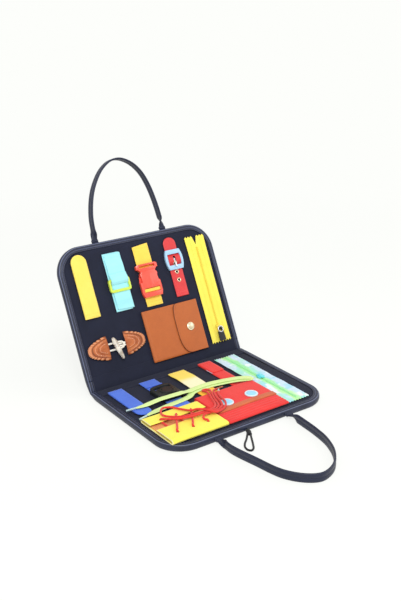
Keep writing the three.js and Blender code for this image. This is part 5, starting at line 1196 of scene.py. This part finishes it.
def cyan_set():
    low, high = WEB_MIDDLE, WEB_MIDDLE + 3.2
    strap("cyan_lower_layer", "rear", flat_line(-49, 93.6, 183.6, low), 28, WEB, cyan_web, "rear_leaf",
          "cyan_webbing", "cyan_webbing", columns=9, wave=0.008, seed=12)
    path = soft_path([(-46.4, 96.6, low + 1.45), (-46.6, 103, low + 1.6), (-47.4, 109.5, high), (-47.4, 164, high),
                      (-47.4, 171, low + 1.6), (-47.4, 182.6, low + 1.45)], 1.4, 6)
    strap("cyan_upper_layer", "rear", path, 28, WEB, cyan_web, "rear_leaf", (), "cyan_webbing", columns=9, wave=0.01,
          skew_start=-1.5, seed=13)
    over = high + WEB + 1.9 + WEB / 2
    path = column(-47.6, [(150.8, high + WEB + 0.2), (147.6, high + WEB + 0.3), (144.6, over), (138.6, over),
                          (135.2, high + WEB + 0.5), (134.4, high + WEB / 2)], 0.8, 2.2)
    strap("cyan_glide_fold", "rear", path, 28.6, WEB, cyan_web, "tri_glide_body", (), "cyan_webbing", columns=9)
    moulded("tri_glide", lime_plastic, 0.45)
    stitches("cyan_stitches", "rear", box_stitch(-48, 13, 176, 181.5, low + 1.45 + WEB / 2 + 0.03, 0.5),
             thread("cyan", 0x8CD8E4, 0x6CBCCC), "rear_leaf", "cyan_webbing")


def over_bar(x, start, foot, top, last, end):
    """Webbing that lies flat, climbs over a buckle's bar and goes down behind it."""
    low, crown = WEB_MIDDLE, LINING + 5
    return column(x, [(start, low), (foot, low), (foot + 0.4, low + 2), (top, crown), (last, crown), (end, low + 2)],
                  0.7, 1.1)


def side_release():
    low = WEB_MIDDLE
    strap("release_web_lower", "rear", over_bar(5, 89.6, 111.4, 112, 116.4, 116.6), 28, WEB, yellow_web, "rear_leaf",
          "release_strap_lower", "yellow_webbing", columns=9)
    strap("release_web_upper", "rear", flat_line(5, 145.5, 184.6, low), 28, WEB, yellow_web, "rear_leaf",
          "release_strap_upper", "yellow_webbing", columns=9, wave=0.012, lift=0.3, seed=17, skew_end=-3)
    moulded("release_buckle_socket", red_plastic, 0.5)
    side = [(-1, 0), (-1, 0.5), (-0.99, 0.85), (-0.95, 1)]
    arch = side + [(a, 1) for a in np.linspace(-0.86, 0.86, 13)] + [(-a, b) for a, b in reversed(side)]
    grid = [[(5 + a * half, d, LINING + 1.6 + b * 4.5 + (1.5 * (1 - a * a) if b == 1 else 0))
             for d, half in ((141.2, 14.0), (141.8, 13.8), (142.4, 13.3), (143, 13.0), (143.6, 13.0),
                             (144.2, 13.2), (144.8, 13.5))] for a, b in arch]
    dress(thick("release_socket_mouth", "rear", grid, 1.1, red_plastic), "rear_leaf", ())
    moulded("release_buckle_plug", red_plastic, 0.45)
    top = low + WEB / 2 + 0.03
    stitches("release_stitches", "rear", box_stitch(5, 14, 89.6, 96, top) + box_stitch(5, 14, 176, 182, top, 1.0),
             yellow_thread, "rear_leaf", "yellow_webbing")


def centre_push():
    low = WEB_MIDDLE
    strap("push_web_upper", "front", over_bar(-54, 7.6, 47.8, 48.4, 51.8, 52.1), 27, WEB, blue_web, "base",
          "push_strap_upper", "blue_webbing", columns=9)
    strap("push_web_lower", "front", flat_line(-55.5, 76, 110, low), 27, WEB, blue_web, "base", "push_strap_lower",
          "blue_webbing", columns=9, wave=0.01)
    path = column(-54, [(28, low + WEB + 0.1), (30.4, low + WEB + 0.3)], 0.6, 1)
    strap("push_web_fold", "front", path, 26, WEB * 0.8, blue_felt, "base", (), "blue_webbing", columns=7)
    moulded("push_buckle_body", olive_plastic, 0.5)
    moulded("push_buckle_button", black_plastic, 0.3)
    moulded("push_buckle_tongue", black_plastic, 0.4)


plain_yellow_strap()
cyan_set()
side_release()
centre_push()


# ---------------------------------------------------------------- belt

def belt():
    x, sewn, leather_t = 58.5, 93.6, 1.6
    middle = LOW + leather_t / 2
    hump = LINING + 2.6 + 1.1 + 0.3 + leather_t / 2
    start, end = 143.6, 161.6
    path = column(x, [(sewn, middle), (start + 0.9, middle), (start + 5.5, hump), (end - 5.5, hump),
                      (end - 0.9, middle), (188.6, middle)], 0.9, 2.2)
    obj = thick("red_belt_leather", "rear", ribbon_grid(path, 22, columns=13, tip_end=10.4, wave=0.006), leather_t,
                belt_leather)
    places = [136.6 - 3.8, 136.6 - 3.8 - 13.3]
    carve(obj, [cylinder("rear", x, 151, 5, 20, 2.2, stretch=10.5)]
          + [cylinder("rear", x, d, 5, 20, 1.9) for d in places])
    dress(obj, "rear_leaf", "belt_strap")
    rings = [("at_prong", 146.7, middle + 2.5, 2.9, 0.8, gold_steel, dict(flat=0.7, tilt=0.62))]
    for k, d in enumerate(places, 1):
        rings += [(k, d, middle + 0.85, 2.7, 0.8, gold_steel, dict(flat=0.7)),
                  (f"back_{k}", d, middle - 0.1, 2.1, 0.35, steel, dict(flat=2.4))]
    for name, d, z, radius, wire, look, shape in rings:
        dress(hoop(f"belt_eyelet_{name}", "rear", x, d, z, radius, wire, look, **shape), "rear_leaf", ())
    moulded("belt_buckle_frame", blue_plastic, 0.5)
    moulded("belt_prong", steel, 0.25)
    stitches("belt_stitches", "rear", box_stitch(x, 11, sewn, 100, middle + 0.82),
             thread("belt", 0xFF7A80, 0xE05058), "rear_leaf", "red_leather")


belt()


# ---------------------------------------------------------------- zips

TAPE_POINT = 2.6


def zigzag(x, pitch):
    return np.abs((x / pitch) % 1.0 - 0.5) * 2


def zip_tape(name, page, middle, width, start, length, notch_width, notch_length, material, body, node,
             ripple, seed, splay=0.0):
    """A pinked tape, its surface gently rippled along its edges and parted by a notch."""
    columns, rows = 73, 90
    across = np.linspace(-1, 1, columns) * width / 2
    pitch = width / round(width / 5)
    low = start + TAPE_POINT * (1 - zigzag(across + width / 2, pitch))
    high = start + length - TAPE_POINT * (1 - zigzag(across + width / 2 + pitch / 2, pitch))
    if notch_length:
        high = high - np.clip(1 - np.abs(across) / (notch_width / 2), 0, 1) * notch_length
    t = np.linspace(0, 1, rows)
    d = low[:, None] * (1 - t) + high[:, None] * t
    near = np.clip((d - (start + length - 26)) / 26, 0, 1) ** 2
    x = middle + across[:, None] + np.sign(across)[:, None] * splay * near
    edge = (np.abs(across) / (width / 2))[:, None]
    z = LOW + 0.5 + ripple * (0.5 + 0.5 * field(d / 13, across[:, None] / 8 + 20, seed)) * np.clip(edge * 1.2, 0, 1)
    z = z + ripple * 0.4 * (0.5 + 0.5 * field(d / 5, across[:, None] / 30 + 3, seed + 2)) * edge
    grid = np.stack([x, d, z], -1)
    return dress(thick(name, page, grid, 0.8, material, uv=grid[..., :2].copy()), body, node)


def zip_teeth(name, page, middle, start, end, material, body, pitch=1.5):
    """Two rows of coil teeth that lock into each other along the tape's middle."""
    stacks = []
    for k in range(int((end - start) / pitch)):
        side = 1 if k % 2 else -1
        stacks.append([[(middle + side * share * 2.3, start + k * pitch + a * 0.62 * r, LINING + 1.85 + b * 0.72 * r)
                        for a, b in circle(8)] for share, r in ((-0.28, 0.5), (0.05, 0.86), (0.7, 0.86), (1, 0.6))])
    return dress(lofts(name, page, stacks, material), body, ())


def zips():
    x = 107
    zip_tape("yellow_zip_cloth", "rear", x, 36, 5.6, 178, 6, 15, yellow_tape, "rear_leaf", "yellow_zip_tape",
             0.35, 41, splay=0.8)
    zip_teeth("yellow_zip_teeth", "rear", x, 11, 166, yellow_teeth, "rear_leaf")
    seams = [[(x + side * (18 - 8.5), d, LOW + 1.2) for d in (5.6 + 4, 183.6 - 4)] for side in (-1, 1)]
    stitches("yellow_zip_stitches", "rear", seams, yellow_thread, "rear_leaf", "yellow_fabric", pitch=3, length=2.1,
             width=0.4)
    slider = moulded("yellow_zip_slider", yellow_teeth, 0.3)
    # Painted shade: the slider's top above the body takes black plastic, standing for the shaded hole inside the ring.
    slider.data.materials.append(black_plastic)
    for polygon in slider.data.polygons:
        middle = np.mean([slider.data.vertices[v].co for v in polygon.vertices], axis=0)
        if unpage("rear", middle[None])[0, 2] > LINING + 4.7:
            polygon.material_index = 1
    moulded("yellow_zip_pull", black_plastic, 0.3)
    dress(hoop("yellow_zip_ring", "rear", x, 26.4, LINING + 6.9, 4.6, 0.9, steel, flat=0.8), "zip_pull", ())
    zip_tape("pastel_zip_cloth", "front", 92, 38, 6, 183, 0, 0, pastel_cloth, "base", "pastel_zip_tape",
             0.8, 43)
    zip_teeth("pastel_zip_teeth", "front", 92, 11, 184, pastel_teeth, "base")
    moulded("pastel_zip_slider", cyan_plastic, 0.35)


zips()


# ---------------------------------------------------------------- toggle fastening

FAN_LINE, FAN_HALF, FAN_REACH, FAN_SCALLOP, FAN_COUNT = 44.6, 18, 31.2, 3.2, 17


def fan(name, node, edge, direction):
    """A scalloped leather fan, domed towards its middle, with a raised inner panel."""
    steps, rings = FAN_COUNT * 10, 16
    phase = np.linspace(0, FAN_COUNT, steps + 1)
    flute = np.abs(np.sin(phase * math.pi))
    along = np.linspace(-1, 1, steps + 1)
    out = (1 - np.abs(along) ** 2.7) * FAN_REACH + FAN_SCALLOP * flute ** 0.8

    def places(share, ridge):
        rim = np.clip((share - 0.76) / 0.12, 0, 1)
        dome = 1.5 * np.sqrt(np.maximum(0, 1 - share ** 2.2)) + 0.5 * np.clip((0.52 - share) / 0.08, 0, 1)
        dip = -0.5 * np.exp(-((share - 0.76) / 0.04) ** 2) - 0.3 * np.exp(-((share - 0.52) / 0.04) ** 2)
        z = LOW + 0.9 + dome + dip + rim * (0.75 * ridge - 0.1)
        return np.stack([edge + direction * out * share, FAN_LINE + FAN_HALF * along * share, z + 0 * along], -1)
    shares = 1 - np.linspace(0, 1, rings) * 0.985
    grid = np.stack([places(share, flute) for share in shares], 1)
    uv = np.stack(np.broadcast_arrays(phase[:, None], shares * 10), -1)
    dress(thick(name, "rear", grid, 1.5, fan_leather, uv=uv), "rear_leaf", node)
    rows = [places(share, 0)[6:steps - 5:3] + (0, 0, 0.75) for share in (0.68, 0.44)]
    stitches(name + "_stitches", "rear", rows, edge_thread, "rear_leaf", "brown_leather", pitch=2.6, length=1.9,
             width=0.8)


fan("toggle_fan_left", "toggle_patch_left", -93, -1)
fan("toggle_fan_right", "toggle_patch_right", -63, 1)
moulded("toggle_horn", horn_mix, 0, smooth=2)


# ---------------------------------------------------------------- folded cloth and leather

def folded(name, page, path, x0, x1, columns, raise_by, thickness, material, body, node, from_z=-1e9):
    """A sheet folded along a path in d and z, from x0 to x1; what lies above from_z is raised by a surface."""
    grid = ribbon_grid(path + np.array([(x0 + x1) / 2, 0, 0]), x1 - x0, columns=columns)
    grid[..., 2] += np.where(grid[..., 2] > from_z, raise_by(grid[..., 0], grid[..., 1]), 0)
    return dress(thick(name, page, grid, thickness, material, uv=grid[..., :2].copy()), body, node)


def rising(value, start, reach):
    """Zero before start, rising to one over reach; a negative reach falls."""
    return np.clip((value - start) / reach, 0, 1)


# ---------------------------------------------------------------- wallet

WALLET_T = 1.3
WALLET_LINE, WALLET_HALF = 43.6, 40
WALLET_LEFT, WALLET_RIGHT = -24, 76


def bezier(p0, p1, p2, p3):
    t = np.linspace(0, 1, 40)[:, None]
    p0, p1, p2, p3 = (np.array(p, float) for p in (p0, p1, p2, p3))
    return ((1 - t) ** 3) * p0 + 3 * ((1 - t) ** 2) * t * p1 + 3 * (1 - t) * t * t * p2 + t ** 3 * p3


def wallet_body(back, front, sewing):
    left = WALLET_LEFT + WALLET_T / 2
    turn = (front - back) / 2
    path = soft_path([(WALLET_RIGHT, 0, back), (left + turn, 0, back), (left + 0.2, 0, back + turn * 0.4),
                      (left, 0, back + turn), (left + 0.2, 0, front - turn * 0.4), (left + turn, 0, front),
                      (74.7, 0, front)], 1.1, 1.3)
    grid = ribbon_grid(path + np.array([0, WALLET_LINE, 0]), 2 * WALLET_HALF, across=(0, 1, 0), columns=31)
    x, d, z = np.moveaxis(grid, -1, 0)
    soft = 0.35 * (0.5 + 0.5 * field(x / 30, d / 22, 61))
    reach = np.clip(np.minimum(x - WALLET_LEFT, 30 - x) / 10, 0, 1)
    reach *= np.clip((WALLET_HALF - np.abs(d - WALLET_LINE)) / 12, 0, 1)
    turned_edge = 0.45 * np.exp(-((x + 18.0) / 1.2) ** 2)
    grid[..., 2] += np.where(z > (back + front) / 2, soft * reach - turned_edge, 0)
    dress(thick("wallet_leather_body", "rear", grid, WALLET_T, wallet_leather, uv=grid[..., :2].copy()), "rear_leaf",
          "wallet_body")
    top = front + WALLET_T / 2 + 0.03
    rows = [[(-21.5, d, top), (28, d, top)] for d in (5.8, 81.4)] + [[(-21.8, 6.5, top), (-21.8, 80.6, top)]]
    stitches("wallet_stitches", "rear", rows, sewing, "rear_leaf", "brown_leather", **FINE)


def wallet_flap(back, front, sewing):
    flap_z = front + WALLET_T + 0.3
    edge = WALLET_RIGHT + 0.3 + WALLET_T / 2
    ds = WALLET_LINE + WALLET_HALF * np.sin(np.linspace(-math.pi / 2, math.pi / 2, 45))
    curve = np.concatenate([bezier((48, 3.6), (30, 3.6), (30, 29.6), (30, 43.6)),
                            bezier((30, 43.6), (30, 57.6), (30, 83.6), (38, 83.6))])
    x_left = np.interp(ds, curve[:, 1], curve[:, 0])
    rows = []
    for d, xl in zip(ds, x_left):
        line = soft_path([(edge, d, back), (edge, d, flap_z - 0.7), (edge - 0.7, d, flap_z), (xl, d, flap_z)], 0.5, 0.9)
        want = np.concatenate([np.linspace(0, 6, 14, endpoint=False), np.linspace(6, path_length(line), 26)])
        rows.append(sample(line, want))
    grid = np.array(rows)
    x, d, z = np.moveaxis(grid, -1, 0)
    bow = 0.3 * np.clip((70 - x) / 20, 0, 1) * np.clip((WALLET_HALF - np.abs(d - WALLET_LINE)) / 16, 0, 1)
    grid[..., 2] += np.where(z > flap_z - 0.3, bow, 0)
    body = "wallet_flap_body"
    dress(thick("wallet_leather_flap", "rear", grid, WALLET_T, wallet_leather, uv=grid[..., :2].copy()), body,
          "wallet_flap")
    top = flap_z + WALLET_T / 2 + 0.3
    line = np.stack([x_left + 2.2, WALLET_LINE + (ds - WALLET_LINE) * 0.95, np.full(len(ds), top)], 1)[2:-2]
    stitches("wallet_flap_stitches", "rear", [line], sewing, body, "brown_leather", **FINE)
    rim = resample(np.stack([x_left - 0.1, ds, np.full(len(ds), flap_z + 0.2)], 1), 1.5)
    dress(tube("wallet_flap_edge", "rear", rim, 0.62, wallet_edge, sides=8), body, ())
    profile = [(4.6, -0.6), (6.2, -0.3), (6.75, 0.1), (6.7, 0.6), (6.1, 1.1), (5.5, 1.15), (5.2, 0.95), (4.8, 1.1),
               (3.6, 1.75), (2.0, 2.15), (0.4, 2.25)]
    dress(turned("wallet_snap_cap", "rear", 54, WALLET_LINE, top, profile, gold_steel), body, "wallet_snap")


def wallet():
    back = LOW + WALLET_T / 2
    sides = back, back + WALLET_T + 0.8, thread("wallet", 0xC4703E, 0x8E4A24)
    wallet_body(*sides)
    wallet_flap(*sides)


wallet()


# ---------------------------------------------------------------- pouch

def puff(x, d):
    """How far the pouch's upper cloth stands up between its sewn edges."""
    sides = rising(x, -2, 18) * rising(x, 70, -14) * rising(d, 108, 20) * rising(d, 190, -14)
    return 0.8 * sides * (0.75 + 0.25 * field(x / 19, d / 15, 71))


def pleated(x, d):
    """The puffed cloth with the gathered pleats at its far end."""
    creases = 0.55 * np.abs(np.sin((d - 162) / 5.6 * math.pi + 0.8 * field(x / 34, d / 60, 72)))
    return puff(x, d) + creases * rising(d, 158, 4) * rising(d, 188, -3)


def pouch():
    cloth = 1.2
    back = LOW + cloth / 2
    front = back + cloth + 1.0
    turn = (front - back) / 2
    end = 190.5 - cloth / 2
    x0, x1 = -34, 71
    path = column(0, [(104, back), (end - turn, back), (end, back + turn), (end - turn, front), (107, front)], 1.0, 1.6)
    body = folded("pouch_cloth_body", "front", path, x0, x1, 43, pleated, cloth, red_cloth, "base", "pouch_body",
                  (back + front) / 2)
    path_length(path) * MM

    flap_z, flap_x0, on = front + cloth + 0.3, x0 + 1.5, "pouch_flap_body"
    edge = 104 - 0.3 - cloth / 2
    flap_end = edge + 58
    path = column(0, [(edge, back), (edge, flap_z - 0.8), (edge + 0.8, flap_z), (flap_end, flap_z)], 1.0, 1.0)
    flap = folded("pouch_cloth_flap", "front", path, flap_x0, x1, 43, puff, cloth, red_cloth, on, "pouch_flap",
                  flap_z - 0.4)
    (x1 - flap_x0) * MM
    path_length(path) * MM
    path = column(0, [(flap_end - 9, flap_z + 0.95), (flap_end + 0.2, flap_z + 0.95), (flap_end + 0.9, flap_z),
                      (flap_end + 0.2, flap_z - 0.72)], 0.7, 0.9)
    folded("pouch_flap_trim", "front", path, flap_x0, x1, 43, lambda x, d: puff(x, np.minimum(d, flap_end)), 0.7,
           trim_cloth, on, ())
    ring = [(8, -0.9), (9.4, -0.5), (10, 0.1), (9.9, 0.9), (9.3, 1.35), (8.4, 1.45), (7.9, 1.2), (7.5, 1.05),
            (0.3, 1.05)]
    dome = [(7.3, 0.9), (7.25, 1.15), (6, 1.4), (3, 1.55), (0.3, 1.6)]
    for side, name in ((-1, "left"), (1, "right")):
        x, d = (x0 + x1) / 2 + side * 22, flap_end - 19.5
        z = flap_z + cloth / 2 + 0.3 + float(puff(x, d)) * 0.9
        for word, profile, look, node in (("ring", ring, snap_white, f"pouch_snap_{name}"),
                                          ("dome", dome, snap_blue, ())):
            dress(turned(f"pouch_snap_{word}_{name}", "front", x, d, z, profile, look), on, node)
    top = front + cloth / 2 + 0.03
    rows = [[(x, d, top) for d in (164, 187)] for x in (x0 + 2.4, x1 - 2.4)]
    rows.append([(x0 + 3, 187.6, top + 0.02), (x1 - 3, 187.6, top + 0.02)])
    stitches("pouch_stitches", "front", rows, thread("pouch", 0xC62A2A, 0x9A1C1C), "base", "red_fabric", **FINE)


pouch()


# ---------------------------------------------------------------- lacing panel

HOLE_RADIUS = 2.3


def lacing_panel():
    cloth = 1.2
    base = LOW + cloth / 2
    top = LINING + 6.6 - cloth / 2
    half = (base + top) / 2
    near, far = 112 + cloth / 2, 191.5 - cloth / 2
    path = column(0, [(136, top), (near + 3, top), (near + 0.6, top - 0.9), (near, half + 0.6), (near, half - 0.6),
                      (near + 1.5, base), (far - 1.5, base), (far, half - 0.6), (far, half + 0.6),
                      (far - 0.6, top - 0.9), (far - 3, top), (152, top)], 1.2, 1.6)
    x0, x1 = -129, -37
    width, length = x1 - x0, path_length(path)
    grid = ribbon_grid(path + np.array([(x0 + x1) / 2, 0, 0]), width, columns=47)
    x, d, z = np.moveaxis(grid, -1, 0)
    wavy = rising(z, top - 0.5, 0.4) * rising(d, 176, 6) * rising(d, 190, -4)
    grid[..., 2] += wavy * 0.3 * field(x / 24, d / 9, 81)
    uv = np.stack([x, np.broadcast_to(runs(path), x.shape)], -1)
    obj = thick("lacing_cloth", "front", grid, cloth, panel_cloth, uv=uv)
    carve(obj, [cylinder("front", x, d, half, 30, HOLE_RADIUS) for x in (-109, -83.5, -59) for d in (131, 173)])
    dress(obj, "base", "lacing_sleeve")
    edge = ribbon_grid(path + np.array([x0 + 0.4, 0, 0]), 1.3, columns=5)
    dress(thick("lacing_bias_edge", "front", edge, cloth + 0.2, panel_inside, shoulder=0.6), "base", ())
    path = column(0, [(128, LOW + 1.9), (160, LOW + 1.9)], 1.5, 1.5)
    tongue = folded("lacing_felt_tongue", "front", path, -127, -39, 41, lambda x, d: 0 * x, 0.8, orange_felt, "base",
                    "lacing_tongue")


lacing_panel()
moulded("closure_button", black_plastic, 0.4)


# ---------------------------------------------------------------- stage and light

def seen(tree):
    """One for the rays that the camera sees, directly or in a gloss."""
    rays = {k: add(tree, "LightPath", output=kind) for k, kind in enumerate(("Is Camera Ray", "Is Glossy Ray"))}
    return add(tree, "Math", rays, operation="MAXIMUM")


def stage():
    size = 40.0 / MM
    corners = [(-size, -size, 0), (size, -size, 0), (size, size, 0), (-size, size, 0)]
    m = Nodes("floor_paper")
    m.finish(color=m.mix(m.noise(3, 2), 0xFAFBF8, 0xFDFEFB), rough=0.9, specular=0.1)
    far = add(m.tree, "VectorMath", {0: m.place("Object")}, "Value", operation="LENGTH")
    share = add(m.tree, "MapRange",
                {"Value": far, "From Min": 0.45, "From Max": 1.3, "To Min": 0.79, "To Max": 1.0})
    glow = add(m.tree, "Emission", {0: rgb(0xFDFEFB), 1: 1.0})
    lit = Value(m.tree, m.shader.outputs[0])
    put(m.tree, m.out.inputs[0], add(m.tree, "MixShader", {0: seen(m.tree) * share, 1: lit, 2: glow}))
    link("floor", world("scene", corners), [(0, 1, 2, 3)], m.material)

    studio = bpy.data.worlds.new("studio")
    studio.use_nodes = True
    tree = studio.node_tree
    tree.nodes.clear()
    out = tree.nodes.new("ShaderNodeOutputWorld")
    level = add(tree, "MapRange", {"Value": seen(tree), "To Min": 0.68, "To Max": 1.0})
    put(tree, out.inputs[0], add(tree, "Background", {0: rgb(0xFDFEFC), 1: level}))
    scene.world = studio

    for name, place, size, power in (("key", (-0.9, -1.3, 1.9), 1.1, 33), ("fill", (1.7, -0.9, 1.2), 1.6, 9)):
        lamp = bpy.data.lights.new(name, "AREA")
        lamp.shape = "DISK"
        lamp.size = size
        lamp.energy = power
        obj = bpy.data.objects.new(name, lamp)
        scene.collection.objects.link(obj)
        obj.location = place
        obj.rotation_euler = (Vector((0, 0.05, 0.1)) - Vector(place)).to_track_quat("-Z", "Y").to_euler()


stage()
scene.view_settings.view_transform = "Standard"
